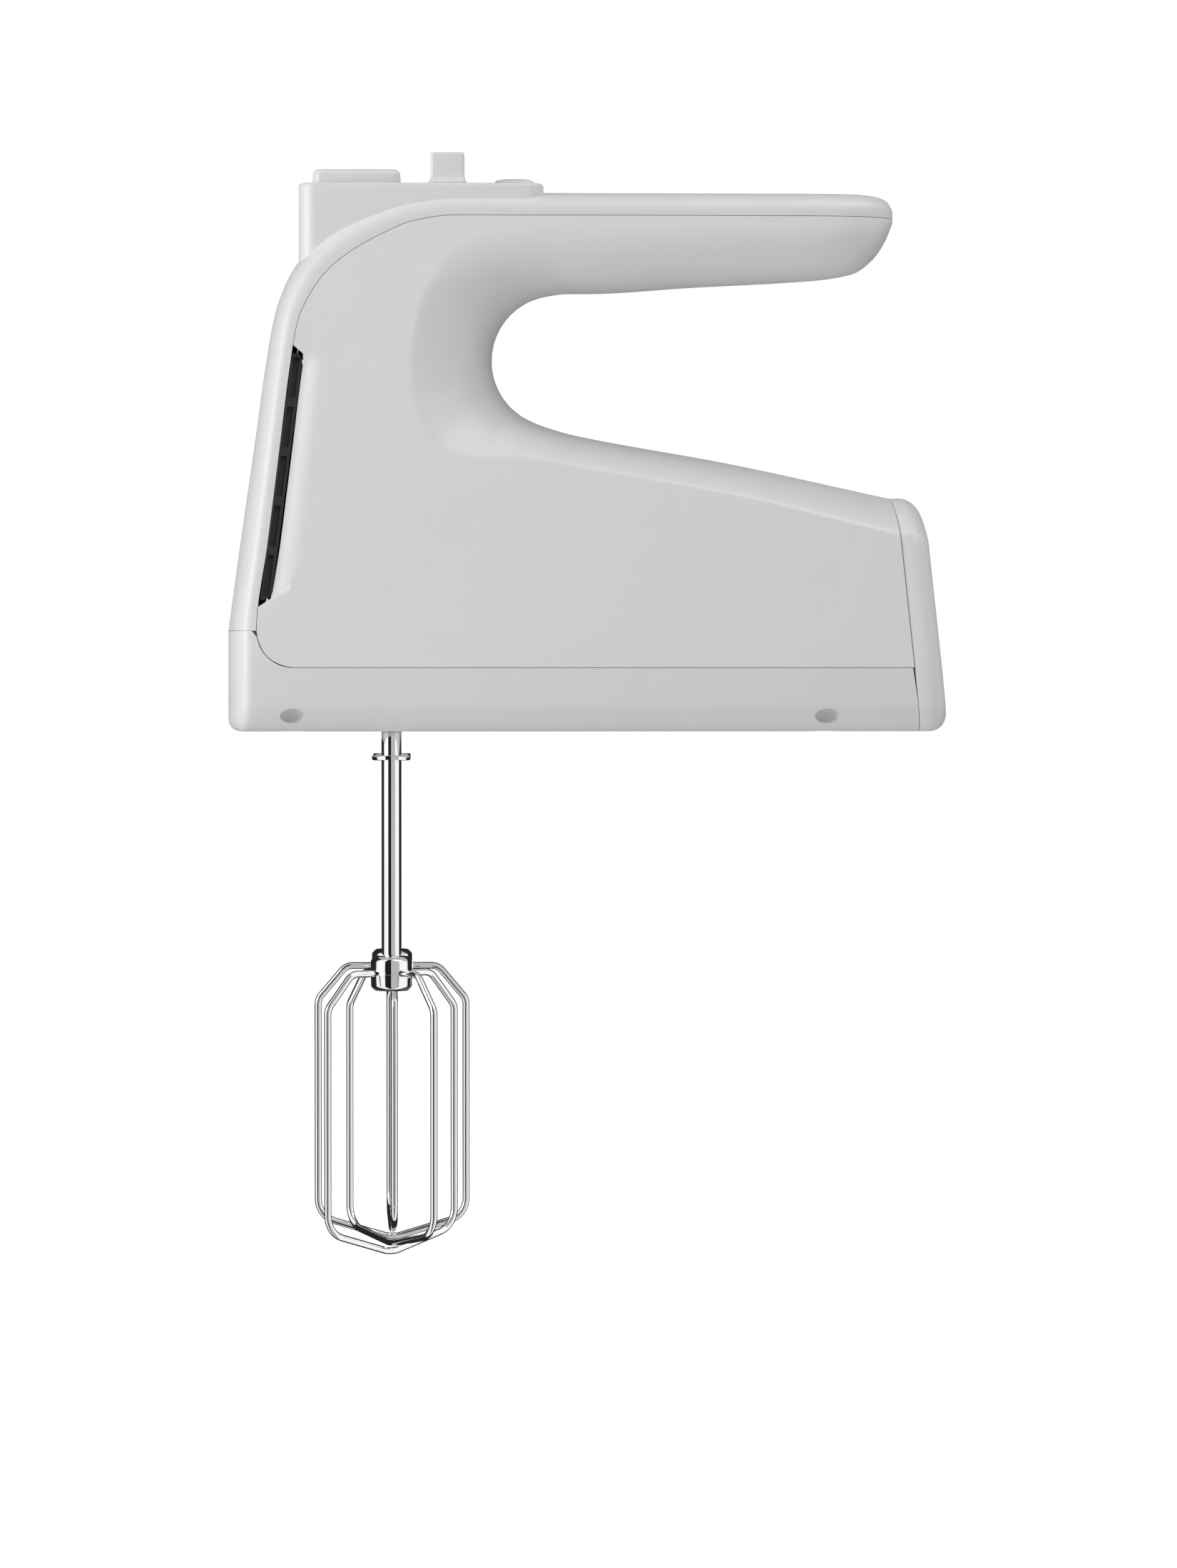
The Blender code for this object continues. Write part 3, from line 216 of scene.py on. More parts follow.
def quads(rows, columns, start=0, wrap=False):
    """Faces of a grid of rows by columns whose normal is along the row step crossed with the
    column step; wrap joins the last column to the first."""
    i, j = np.meshgrid(np.arange(rows - 1), np.arange(columns if wrap else columns - 1), indexing="ij")
    a, b = i * columns + j, i * columns + (j + 1) % columns
    return (np.stack([a, a + columns, b + columns, b], axis=-1).reshape(-1, 4) + start)


def finish_for(name):
    """A new Principled material: the material, its shader node and its Object coordinates."""
    made = bpy.data.materials.new(name)
    made.use_nodes = True
    shader = made.node_tree.nodes["Principled BSDF"]
    here = Signal(made.node_tree, None).node("ShaderNodeTexCoord", {}, {}, "Object")
    return made, shader, here


def feed(shader, **values):
    """Signals linked, or numbers set, to the shader's sockets; an underscore stands for a space."""
    for key, value in values.items():
        socket = shader.inputs[key.replace("_", " ")]
        if isinstance(value, Signal):
            value.tree.links.new(value.socket, socket)
        else:
            socket.default_value = value


def bumped(height, strength, distance):
    """A Normal from a height; distance is in metres."""
    return height.node("ShaderNodeBump", {}, {"Strength": strength, "Distance": distance, "Height": height})


floor_white, floor_shader, floor_here = finish_for("studio_sweep")
grain = floor_here.noise(9.0, 3.0)
rays = grain.node("ShaderNodeLightPath", {}, {})
direct = Signal(rays.tree, rays.socket.node.outputs["Is Camera Ray"])
glow = direct * 0.74 + Signal(rays.tree, rays.socket.node.outputs["Is Diffuse Ray"]) * 0.09
feed(floor_shader, Base_Color=(grain * 0.4 + 0.5).mix((0.75, 0.75, 0.75, 1), (0.78, 0.78, 0.78, 1)),
    Roughness=0.85, Emission_Strength=1.0)
feed(floor_shader, Emission_Color=glow.node("ShaderNodeCombineXYZ", {}, {0: glow, 1: glow, 2: glow}))
FLOOR_Z = cad_bounds[0][2] / MM - 33.0
# The sweep's section: flat floor, a quarter turn of radius 900, then the back wall.
turn = np.linspace(0, math.pi / 2, 24)
section = np.concatenate([[[-2600.0, FLOOR_Z]], np.stack([1500 + 900 * np.sin(turn),
    FLOOR_Z + 900 * (1 - np.cos(turn))], axis=-1), [[2400.0, 3200.0]]])
across = np.linspace(-3000, 3000, 9)
sweep = np.stack([np.broadcast_to(across[None], (len(section), 9)),
    np.broadcast_to(section[:, :1], (len(section), 9)), np.broadcast_to(section[:, 1:], (len(section), 9))], axis=-1)
floor = skin("studio_floor", sweep, quads(len(section), 9)[:, ::-1], floor_white, None)
floor.visible_glossy = False
place_light("overhead_box", (0.6, -0.25, 0.95), (0.05, 0.0, 0.0), 0.9, 0.8, 5.4)
place_light("left_panel", (-0.95, -0.5, 0.3), (0.04, 0.0, 0.05), 0.5, 0.7, 6.2)

# ---- White moulding finish
# Satin ABS straight from a spark-eroded mould: a fine even grain, the faintest mottle in
# the gloss, no paint. Every cover and every button is moulded from it.
abs_white, abs_shader, abs_here = finish_for("satin_abs")
mottle = abs_here.noise(60.0, 3.0)
eroded = abs_here.noise(2600.0, 2.0, 0.6)
feed(abs_shader,
    Base_Color=(mottle + 0.5).mix((0.812, 0.798, 0.805, 1), (0.838, 0.824, 0.831, 1)),
    Roughness=0.4 + mottle * 0.08 + eroded * 0.06,
    Normal=bumped(eroded + mottle * 0.3, 0.35, 0.00004))

# ---- Side shells
# Two mirrored mouldings clipped together on the middle plane: a drafted flat panel, a
# crease, then a crowned band that rolls into the finger opening. A scoop by the front
# seam feeds the vent.
BODY_HALF, HANDLE_HALF = 43.0, 21.0
SEAM_LOW, SEAM_FRONT, SEAM_TOP = 17.6, 27.6, 142.6
GAP, SEAM_GAP, WALL = 0.3, 0.14, 2.4
HEEL_LEAN, HEEL_SEAM_X, HEEL_X, HEEL_TOP = 0.0955, 145.3, 153.2, 65.0
NOSE_X, NOSE_START = 140.3, 112.0
FRONT_SEAM_X, FRONT_X, PANEL_CORNER = -36.6, -45.3, 10.0
HANDLE_TOP, PLATFORM_TOP = 149.9, 151.8
CREASE = math.radians(24)


def smooth(value):
    """0 below 0, 1 above 1 and a soft step between: 3t^2 - 2t^3."""
    t = np.clip(value, 0.0, 1.0)
    return t * t * (3 - 2 * t)


def half_width(x, z):
    """Half the width of the body: it drafts in with height, narrows by the square of the
    distance behind the spindles, and closes round the nose as a cubic superellipse."""
    width = BODY_HALF + (HANDLE_HALF - BODY_HALF) * np.clip((z - SEAM_LOW) / (SEAM_TOP - SEAM_LOW), 0, 1)
    width = width * (1 - 0.10 * np.clip((x - 20.0) / (HEEL_X - 20.0), 0, 1) ** 2)
    nose = np.clip((x - NOSE_START) / (NOSE_X - NOSE_START), 0, 1) * smooth((z - 110) / 10)
    return width * np.cbrt(1 - nose ** 3)


def ring_point(centre, radius, degrees):
    """A point on a circle in the side view."""
    turn = math.radians(degrees)
    return centre[0] + radius * math.cos(turn), centre[1] + radius * math.sin(turn)


def opening(degrees):
    return ring_point((46.5, 103.3), 18.4, degrees)


def corner(degrees):
    return ring_point((FRONT_SEAM_X + PANEL_CORNER, SEAM_FRONT), PANEL_CORNER, degrees)


# Lines across the C of the body: outer seam, ridge of the opening, share of the way taken
# by the crowned band and how sharp its crease is, then the cover's ridge.
cross_lines = [
    ((HEEL_SEAM_X - HEEL_LEAN * SEAM_LOW - SEAM_GAP, SEAM_LOW), (HEEL_SEAM_X - HEEL_LEAN * HEEL_TOP - SEAM_GAP, HEEL_TOP),
        0.225, 1.0),
    ((96.0, SEAM_LOW), (96.0, 74.3), 0.165, 1.0),
    ((46.0, SEAM_LOW), (47.0, 83.6), 0.145, 1.0),
    ((8.0, SEAM_LOW), opening(241), 0.16, 1.0),
    ((-14.0, SEAM_LOW), opening(226), 0.2, 1.0),
    (corner(270), opening(215), 0.22, 1.0),
    (corner(225), opening(210), 0.23, 1.0),
    (corner(180), opening(205), 0.25, 1.0, (-45.3, 27.75)),
    ((-33.5, 52.4), opening(194), 0.31, 1.0, (-41.8, 53.3)),
    ((-30.4, 77.8), opening(184), 0.37, 1.0, (-38.1, 79.1)),
    ((-27.8, 99.4), opening(176), 0.4, 1.0, (-35.0, 101.4)),
    ((-25.6, 112.8), opening(166), 0.41, 1.0, (-32.4, 115.8)),
    ((-21.9, 121.1), opening(156), 0.43, 1.0, (-28.8, 125.6)),
    ((-17.2, 127.4), opening(146), 0.46, 0.9, (-23.3, 133.6)),
    ((-11.2, 132.3), opening(136), 0.5, 0.7, (-15.8, 139.9)),
    ((-2.1, 137.5), opening(125), 0.56, 0.5, (-4.6, 145.2)),
    ((6.8, 141.1), opening(113), 0.64, 0.3, (5.8, 148.4)),
    ((18.0, SEAM_TOP), opening(100), 0.74, 0.1, (18.0, HANDLE_TOP)),
    ((40.5, SEAM_TOP), (50.0, 122.2), 0.85, 0.0, (40.5, HANDLE_TOP)),
    ((45.0, SEAM_TOP), (54.0, 122.2), 0.85, 0.0, (45.0, HANDLE_TOP)),
    ((80.0, SEAM_TOP), (84.0, 124.0), 0.85, 0.0, (80.0, HANDLE_TOP)),
    ((118.0, SEAM_TOP), (118.0, 126.0), 0.85, 0.0, (118.0, HANDLE_TOP)),
    ((129.0, SEAM_TOP), (129.0, 127.8), 0.85, 0.0, (129.0, 149.8)),
    ((135.0, SEAM_TOP), (135.0, 132.0), 0.85, 0.0, (135.0, 149.2)),
    ((138.4, SEAM_TOP), (138.4, 137.2), 0.85, 0.0, (138.4, 148.0)),
    ((140.0, SEAM_TOP), (140.0, 141.2), 0.85, 0.0, (140.0, 145.8)),
]
COVER_FIRST = 7


def lengthwise(which, first=0, step=1.3):
    """One column of the cross lines as a smooth curve: a monotone cubic through each value,
    placed by the mean length of the seam and the ridge, sampled every step."""
    seam = np.array([line[0] for line in cross_lines])
    ridge = np.array([line[1] for line in cross_lines])
    values = np.array([line[which] for line in cross_lines[first:]], dtype=float).reshape(len(seam) - first, -1)
    spans = (np.linalg.norm(np.diff(seam, axis=0), axis=1) + np.linalg.norm(np.diff(ridge, axis=0), axis=1)) / 2
    place = np.concatenate([[0.0], np.cumsum(spans)])[first:]
    rise = np.diff(values, axis=0) / np.diff(place)[:, None]
    agree = rise[:-1] * rise[1:] > 0
    slope = np.zeros_like(values)
    slope[1:-1] = np.where(agree, 2 * rise[:-1] * rise[1:] / np.where(agree, rise[:-1] + rise[1:], 1), 0)
    slope[0], slope[-1] = rise[0], rise[-1]
    out = [values[:1]]
    for k, span in enumerate(np.diff(place)):
        t = np.linspace(0, 1, max(2, round(span / step)) + 1)[1:, None]
        out.append((2 * t ** 3 - 3 * t ** 2 + 1) * values[k] + (t ** 3 - 2 * t ** 2 + t) * span * slope[k]
            + (3 * t ** 2 - 2 * t ** 3) * values[k + 1] + (t ** 3 - t ** 2) * span * slope[k + 1])
    return np.concatenate(out)


VENT_LOW, VENT_HIGH, VENT_WIDTH = 36.0, 104.2, 3.4
SCOOP_DEPTH, SCOOP_WIDTH, SCOOP_ROUND = 2.4, 7.0, 3.0
seam_x = [line[0][0] for line in cross_lines[7:12]]
seam_z = [line[0][1] for line in cross_lines[7:12]]


def scoop(x, z):
    """Depth of the vent's scoop: a plane sinking towards the seam inside a rectangle with
    rounded corners, its rim softened over about a millimetre."""
    behind = x - np.interp(z, seam_z, seam_x)
    over = np.abs(z - (VENT_LOW + VENT_HIGH) / 2) - ((VENT_HIGH - VENT_LOW) / 2 + 0.5 - SCOOP_ROUND)
    back = behind - (SCOOP_WIDTH - SCOOP_ROUND)
    edge = np.hypot(np.maximum(back, 0), np.maximum(over, 0)) + np.minimum(np.maximum(back, over), 0)
    inside = SCOOP_ROUND - edge
    return np.where(behind < 16, SCOOP_DEPTH * smooth((inside + 0.6) / 2.4)
        * (0.35 + 0.65 * np.clip(1 - behind / SCOOP_WIDTH, 0, 1)), 0.0)


def side_surface(side, wall):
    """Outside (wall 0) or inside of a side shell. Across each line: share s of the way from
    seam to ridge, crown c. The panel has c = 1; on the band an angle t runs from the crease
    to 90 degrees, s following its sine and c its cosine; the crease is averaged soft."""
    seam, ridge, band, bend = (lengthwise(k) for k in range(4))
    bend = bend * CREASE
    deep = np.linalg.norm(ridge - seam, axis=1, keepdims=True)
    ridge = ridge + (seam - ridge) / deep * np.minimum(wall, 0.6 * deep)
    nose = wall * smooth((seam[:, :1] - NOSE_START) / (NOSE_X - NOSE_START)) * (seam[:, 1:] > 140)
    seam, ridge = seam - nose * [1, 0], ridge - nose * [1, 0]
    ramp = np.linspace(0, 1, 22)
    panel = (1 - band) * (1 - (1 - ramp) ** 1.6)
    sweep_turn = bend + (math.pi / 2 - bend) * (np.linspace(0, 1, 27)[1:] ** 1.25)
    start = np.sin(bend)
    share = np.concatenate([panel, (1 - band) + band * (np.sin(sweep_turn) - start) / (1 - start)], axis=1)
    crown = np.concatenate([np.ones_like(panel), np.cos(sweep_turn) / np.cos(bend)], axis=1)
    near = slice(14, 30)
    for _ in range(3):
        for value in (share, crown):
            value[:, near] = (value[:, 13:29] + 2 * value[:, near] + value[:, 15:31]) / 4
    points = seam[:, None] + (ridge - seam)[:, None] * share[..., None]
    x, z = points[..., 0], points[..., 1]
    vented = np.clip(1 - np.abs((z - (VENT_LOW + VENT_HIGH) / 2) / ((VENT_HIGH - VENT_LOW) / 2 + GAP)) ** 30, 0, 1)
    x = x + VENT_WIDTH * vented ** (1 / 8) * (1 - share) ** 6 * (x < 0) * (vented > 0)
    width = half_width(x + nose, z)
    width = width - np.minimum(wall, 0.6 * width) - scoop(x, z)
    return np.stack([x, side * (GAP / 2 + (width - GAP / 2) * crown), z], axis=-1)


def walled(outer, inner):
    """A closed wall between two grids of one size: outer faces, inner faces turned round,
    and a strip round the four edges."""
    rows, columns = outer.shape[:2]
    half = rows * columns
    index = np.arange(half).reshape(rows, columns)
    rim = np.concatenate([index[:-1, 0], index[-1, :-1], index[:0:-1, -1], index[0, :0:-1]])
    after = np.roll(rim, -1)
    strip = np.stack([rim, rim + half, after + half, after], axis=-1)
    face = quads(rows, columns)
    return np.concatenate([outer.reshape(-1, 3), inner.reshape(-1, 3)]), np.concatenate(
        [face, face[:, ::-1] + half, strip])


def ease_edges(piece, width, degrees=40, segments=2):
    """Small rounds along every edge sharper than the angle."""
    step = piece.modifiers.new("rounds", "BEVEL")
    step.width, step.segments, step.angle_limit = width * MM, segments, math.radians(degrees)
    step.limit_method = "ANGLE"
    return piece


for side, name in ((-1, "left"), (1, "right")):
    points, faces = walled(side_surface(side, 0.0), side_surface(side, WALL))
    shell = skin(name + "_shell_moulding", points, faces[:, ::side], abs_white, "housing",
        name + "_side_shell")
    ease_edges(shell, 0.2)

# ---- Top cover
# One moulding runs up the front strip, over the arch and back along the handle to the nose.
# Its control platform is raised, with square-cut openings for the two buttons and the slider.
EJECT, SLIDER_X, TURBO_X = (-9.6, 12.2, 11.5), 15.7, (34.4, 5.8, 6.0)


def cover_surface(wall):
    """Outside or inside of the cover. Each line's section is a cubic superellipse, upright
    at the seam and flat in the middle, where it reaches the cover's ridge."""
    seam, ridge = lengthwise(0), lengthwise(4, COVER_FIRST)
    seam = seam[-len(ridge):]
    outward = ridge - seam
    deep = np.linalg.norm(outward, axis=1, keepdims=True)
    seam = seam + outward / deep * SEAM_GAP
    ridge = ridge - outward / deep * np.minimum(wall, 0.7 * (deep - SEAM_GAP))
    nose = wall * smooth((seam[:, :1] - NOSE_START) / (NOSE_X - NOSE_START))
    width = half_width(seam[:, :1], seam[:, 1:])
    width = width - np.minimum(wall, 0.6 * width)
    turn = math.pi / 2 * (1 - np.linspace(0, 1, 32) ** 1.2)
    share = np.concatenate([np.sin(turn), -np.sin(turn[-2::-1])])
    share = np.sign(share) * np.abs(share) ** (2 / 3)
    over = np.cbrt(1 - np.abs(share) ** 3)
    points = (seam - nose * [1, 0])[:, None] + (ridge - seam)[:, None] * over[:, None]
    return np.stack([points[..., 0], width * share, points[..., 1]], axis=-1)


def pad_ring(centre, half, radius, height, count=32):
    """A rectangle with round corners: corner centres at half less radius, plus a circle."""
    turn = (np.arange(count) + 0.5) / count * 2 * math.pi
    c, s = np.cos(turn), np.sin(turn)
    radius = max(min(radius, *half), 0.02)
    return np.stack([centre[0] + np.sign(c) * (half[0] - radius) + radius * c,
        centre[1] + np.sign(s) * (half[1] - radius) + radius * s, np.full(count, height)], axis=-1)


def outward(points, faces):
    """The same faces, turned round together if the signed volume (a sixth of the sum of each
    triangle's triple product) is negative. Faces are arrays of one width each."""
    corners = np.concatenate([f[:, [0, k, k + 1]] for f in faces for k in range(1, f.shape[1] - 1)])
    a, b, c = (points[corners[:, k]] for k in range(3))
    inside_out = np.einsum("ij,ij->", a, np.cross(b, c)) < 0
    return points, [row for f in faces for row in (f[:, ::-1] if inside_out else f).tolist()]


def lofted(rings, closed=False):
    """Rings joined in order. Open ends are closed by a fan to the ring's mean point."""
    rings = np.asarray(rings, dtype=float)
    count, around = rings.shape[:2]
    points = rings.reshape(-1, 3)
    if closed:
        return outward(points, [quads(count + 1, around, wrap=True) % (count * around)])
    ring = np.arange(around)
    last = ring + (count - 1) * around
    fans = [np.stack([np.full(around, len(points)), ring, np.roll(ring, -1)], axis=-1),
        np.stack([np.full(around, len(points) + 1), np.roll(last, -1), last], axis=-1)]
    points = np.concatenate([points, rings[:1].mean(axis=1), rings[-1:].mean(axis=1)])
    return outward(points, [quads(count, around, wrap=True), *fans])


def carve(piece, *shapes, operation="DIFFERENCE"):
    """Cuts lofted shapes out of a piece, or joins them to it; the tools don't stay."""
    for points, faces in shapes:
        tool = skin("tool", points, faces, abs_white, None)
        step = piece.modifiers.new("cut", "BOOLEAN")
        step.operation, step.solver, step.object = operation, "EXACT", tool
        mesh = bpy.data.meshes.new_from_object(piece.evaluated_get(bpy.context.evaluated_depsgraph_get()))
        piece.modifiers.clear()
        piece.data = mesh
        bpy.data.objects.remove(tool)
    mesh.shade_smooth()
    mesh.set_sharp_from_angle(angle=math.radians(38))
    return piece


def flared_hole(centre, half, radius, low, high):
    """A cutter that opens by half a millimetre at the surface, as a moulded rim does."""
    return lofted([pad_ring(centre, np.add(half, more), radius + more, z)
        for z, more in ((high + 3, 0.5), (high + 0.02, 0.5), (high - 0.4, 0.0), (low, 0.0))])


points, faces = walled(cover_surface(0.0), cover_surface(WALL))
cover = skin("cover_moulding", points, faces, abs_white, "housing", "top_cover")
BLOCK_MIDDLE, BLOCK_HALF = (8.35, 0), np.array([33.95, 18.9])
turn = np.linspace(0, math.pi / 2, 6)
block = [pad_ring(BLOCK_MIDDLE, BLOCK_HALF, 5.0, 128, 48)] + [pad_ring(BLOCK_MIDDLE, BLOCK_HALF - 1.0 * i, 5.0 - i, z, 48)
    for i, z in zip(1.0 - np.cos(turn), PLATFORM_TOP - 1.0 + np.sin(turn))]
nose = [pad_ring((138.35, 0), (1.5, half), 1.4, z) for z, half in ((141.4, 2.2), (141.8, 3.8), (142.3, 5.2),
    (142.7, 6.0), (143.6, 5.9), (144.4, 5.4), (145.0, 4.6), (145.5, 3.4))]
carve(cover, lofted(block), lofted(nose), operation="UNION")
carve(cover, lofted([pad_ring(BLOCK_MIDDLE, BLOCK_HALF - WALL, 3.0, z, 48) for z in (122, PLATFORM_TOP - WALL)]))
carve(cover,
    flared_hole((EJECT[0], 0), (EJECT[1] + 0.35, EJECT[2] + 0.35), 2.4, 144, PLATFORM_TOP),
    flared_hole((SLIDER_X, 0), (2.85, 14.45), 2.0, 145, PLATFORM_TOP),
    flared_hole((TURBO_X[0], 0), (TURBO_X[1] + 0.35, TURBO_X[2] + 0.35), 2.6, 145, PLATFORM_TOP))

# ---- Base tray
# The bottom moulding: a shallow tray whose rim follows the side panels' lower seam and the
# round of their front corners. Two sockets take the whisks; four wells take the screws.
SPINDLE_Y = 21.0
SCREW_PLACES = [(x, side * (float(half_width(x, 0)) - 9.5), place, name) for x, place in
    ((-26.8, "front"), (119.6, "rear")) for side, name in ((-1, "left"), (1, "right"))]
WELL_R, WELL_DEPTH = 3.5, 5.4


def tray_rings():
    """Rings from the middle of the floor out, up to the rim and down the inside. In plan
    the front is a cubic superellipse; along the sides the ring follows half_width."""
    turn = np.linspace(-math.pi / 2, math.pi / 2, 61)
    side_part = np.concatenate([np.linspace(0.004, 0.056, 16), np.linspace(0.07, 1, 44)])
    share = np.concatenate([-np.ones(60), np.sin(turn), np.ones(60)])
    along = np.abs(share) ** 3
    edge = 3.0 + 5.0 * along
    front_x = FRONT_SEAM_X + (FRONT_X - FRONT_SEAM_X) * np.cbrt(1 - np.abs(np.sin(turn)) ** 3)

    def outline(height, wall):
        side_x = FRONT_SEAM_X + side_part * (HEEL_SEAM_X - HEEL_LEAN * height - SEAM_GAP - wall - FRONT_SEAM_X)
        return np.concatenate([side_x[::-1], front_x, side_x])

    def ring(height, inset, wall):
        x = outline(float(np.mean(height)), wall) + inset * (1 - along)
        y = share * (half_width(x, height) - inset * along)
        return np.stack([x, y, height * np.ones_like(x)], axis=-1)

    x = outline(SEAM_LOW, 0.0)
    across = np.clip((FRONT_SEAM_X + PANEL_CORNER - x) / (PANEL_CORNER + SEAM_GAP), 0, 1)
    rim = SEAM_FRONT - (PANEL_CORNER + SEAM_GAP) * np.sqrt(1 - across ** 2)
    rings = []
    for wall, floor_z, steps, rounds in ((0.0, 0.0, 12, 10), (WALL + 1.2, WALL, 3, 4)):
        radius = edge - wall * 0.6
        lip = [(0.0, WALL), (1.6, WALL + 0.2), (1.6, wall)] if wall else []
        walls = [ring(rim + rise, inset, inset) for rise, inset in lip]
        walls += [ring(edge + (rim - edge) * t, wall, wall) for t in np.linspace(1, 0, steps)]
        walls += [ring(floor_z + radius * (1 - math.sin(a)), wall + radius * (1 - math.cos(a)), wall)
            for a in np.linspace(0, math.pi / 2, rounds)[1:]]
        rings.append(walls)
    return np.array(rings[0][::-1] + rings[1])


points, faces = lofted(tray_rings())
tray = skin("base_moulding", points, faces, abs_white, "housing", "base_tray")


def lathe(profile, centre, count=48, axis="Z"):
    """Rings of a turned shape: a circle of each radius at each height about an axis."""
    turn = np.arange(count) / count * 2 * math.pi
    radius, height = np.asarray(profile, dtype=float).T[:, :, None]
    c, s, h = radius * np.cos(turn), radius * np.sin(turn), height + 0 * turn
    order = {"X": (h, c, s), "Y": (s, h, c), "Z": (c, s, h)}[axis]
    return np.stack(order, axis=-1) + np.asarray(centre, dtype=float)


def pocket(x, y, radius, depth):
    """A round cutter from below, flared by half a millimetre at the floor."""
    return lofted(lathe([(radius + 0.5, -3), (radius + 0.5, -0.02), (radius, 0.5), (radius, depth)], (x, y, 0)))


carve(tray, *[lofted(lathe([(5.0, WALL - 1), (5.0, 14.6)], (x, y, 0), 36)) for x, y, _, _ in SCREW_PLACES],
    operation="UNION")
carve(tray,
    *[pocket(0, side * SPINDLE_Y, 7.3, WALL + 1.5) for side in (-1, 1)],
    *[pocket(x, y, WELL_R, WELL_DEPTH) for x, y, _, _ in SCREW_PLACES],
    *[lofted([pad_ring((x, math.copysign(float(half_width(x, 0)) - 0.3, y)), (3.5 * w, 4.4 * w ** 0.7), 3.2 * w, 4.3 + 2.1 * h)
        for h, w in zip(np.sin(np.linspace(-1.5, 1.5, 11)), np.cos(np.linspace(-1.5, 1.5, 11)))])
        for x, y, _, _ in SCREW_PLACES])

# ---- Heel cover
# The end cap that the mixer stands on: its flat rest face leans like the body's tail, its
# edge is fully rounded, and it carries the crease and crowned band of the sides across.


def heel_rings():
    """Rings from the inner face out over the seam's rim, round the edge and on to the rest
    face. The outline is the body's own section; each ring is that outline drawn in."""
    low = np.linspace(0, math.pi / 2, 14)
    crease_z = HEEL_TOP - 0.225 * (HEEL_TOP - SEAM_LOW)
    base = float(half_width(HEEL_SEAM_X, 0.0))
    z = np.concatenate([8.0 * (1 - np.cos(low)), np.linspace(8, crease_z, 14)[1:]])
    y = np.concatenate([base - 8.0 * (1 - np.sin(low)), half_width(HEEL_SEAM_X, z[14:])])
    turn = CREASE + (math.pi / 2 - CREASE) * np.linspace(0, 1, 24)[1:] ** 1.25
    top = crease_z + (HEEL_TOP - crease_z) * (np.sin(turn) - math.sin(CREASE)) / (1 - math.sin(CREASE))
    y = np.concatenate([y, half_width(HEEL_SEAM_X, top) * np.cos(turn) / math.cos(CREASE)])
    z = np.concatenate([z, top])
    y, z = np.concatenate([y, -y[-2::-1]]), np.concatenate([z, z[-2::-1]])
    tangent = np.stack([np.roll(y, -1) - np.roll(y, 1), np.roll(z, -1) - np.roll(z, 1)], axis=-1)
    for _ in range(9):
        tangent /= np.linalg.norm(tangent, axis=1, keepdims=True)
        tangent = (np.roll(tangent, 1, axis=0) + 2 * tangent + np.roll(tangent, -1, axis=0)) / 4

    def ring(inset, depth):
        ry, rz = y - tangent[:, 1] * inset, z + tangent[:, 0] * inset
        return np.stack([HEEL_SEAM_X - HEEL_LEAN * rz + depth, ry, rz], axis=-1)

    deep, round_r = HEEL_X - HEEL_SEAM_X, 5.0
    turn = np.linspace(0, math.pi / 2, 12)
    outer = [ring(0.35, 0.0), ring(0.1, 0.1), ring(0.0, 0.35)]
    outer += [ring(round_r * (1 - math.cos(a)), deep - round_r * (1 - math.sin(a))) for a in turn]
    return [ring(round_r, deep - WALL), ring(WALL, deep - round_r), ring(WALL, 0.0)] + outer


points, faces = lofted(heel_rings())
skin("heel_moulding", points, faces, abs_white, "housing", "heel_cover")

# ---- Vent grilles
# A dark insert clipped behind each scoop, down the front seam: a thin plate with rounded
# rear corners and five slots, each blind to a baffle behind it.
dark_abs, dark_shader, dark_here = finish_for("dark_abs")
fleck = dark_here.noise(1800.0, 2.0)
feed(dark_shader, Base_Color=(fleck + 0.5).mix((0.034, 0.034, 0.033, 1), (0.05, 0.05, 0.049, 1)),
    Roughness=0.5 + fleck * 0.1, Normal=bumped(fleck, 0.3, 0.00004))


def vent_seam(z):
    return np.interp(z, [SEAM_FRONT, 105.9], [FRONT_SEAM_X - 0.25, -26.95])


def grille_ring(side, z, near, far, front, back):
    """A rectangle at height z, from near to far behind the scoop's face and front to back of
    the seam line."""
    face = side * (half_width(-30.0, z) - SCOOP_DEPTH)
    x = vent_seam(z)
    return np.stack([np.stack([x + a, face - side * d, z], axis=-1) for a, d in
        ((front, near), (back, near), (back, far), (front, far))], axis=-2)


for side, name in ((-1, "left"), (1, "right")):
    t = np.linspace(0, math.pi / 2, 9)
    z = np.concatenate([VENT_LOW + 2.6 * (1 - np.cos(t)), VENT_HIGH - 2.6 * (1 - np.cos(t[::-1]))])
    rear = 3.1 - 2.6 * (1 - np.concatenate([np.sin(t), np.sin(t[::-1])]))
    grille = skin(name + "_grille", *lofted(grille_ring(side, z, 0.0, 1.6, 0.1, rear)), dark_abs, "housing",
        name + "_vent_grille", slot="grey_abs")
    pitch = (VENT_HIGH - VENT_LOW) / 5
    ends = np.array([[1.25, pitch - 1.25]]) + VENT_LOW + pitch * np.arange(5)[:, None]
    carve(grille, *[lofted(grille_ring(side, pair, -2.0, 1.1, 0.6, 2.3)) for pair in ends])

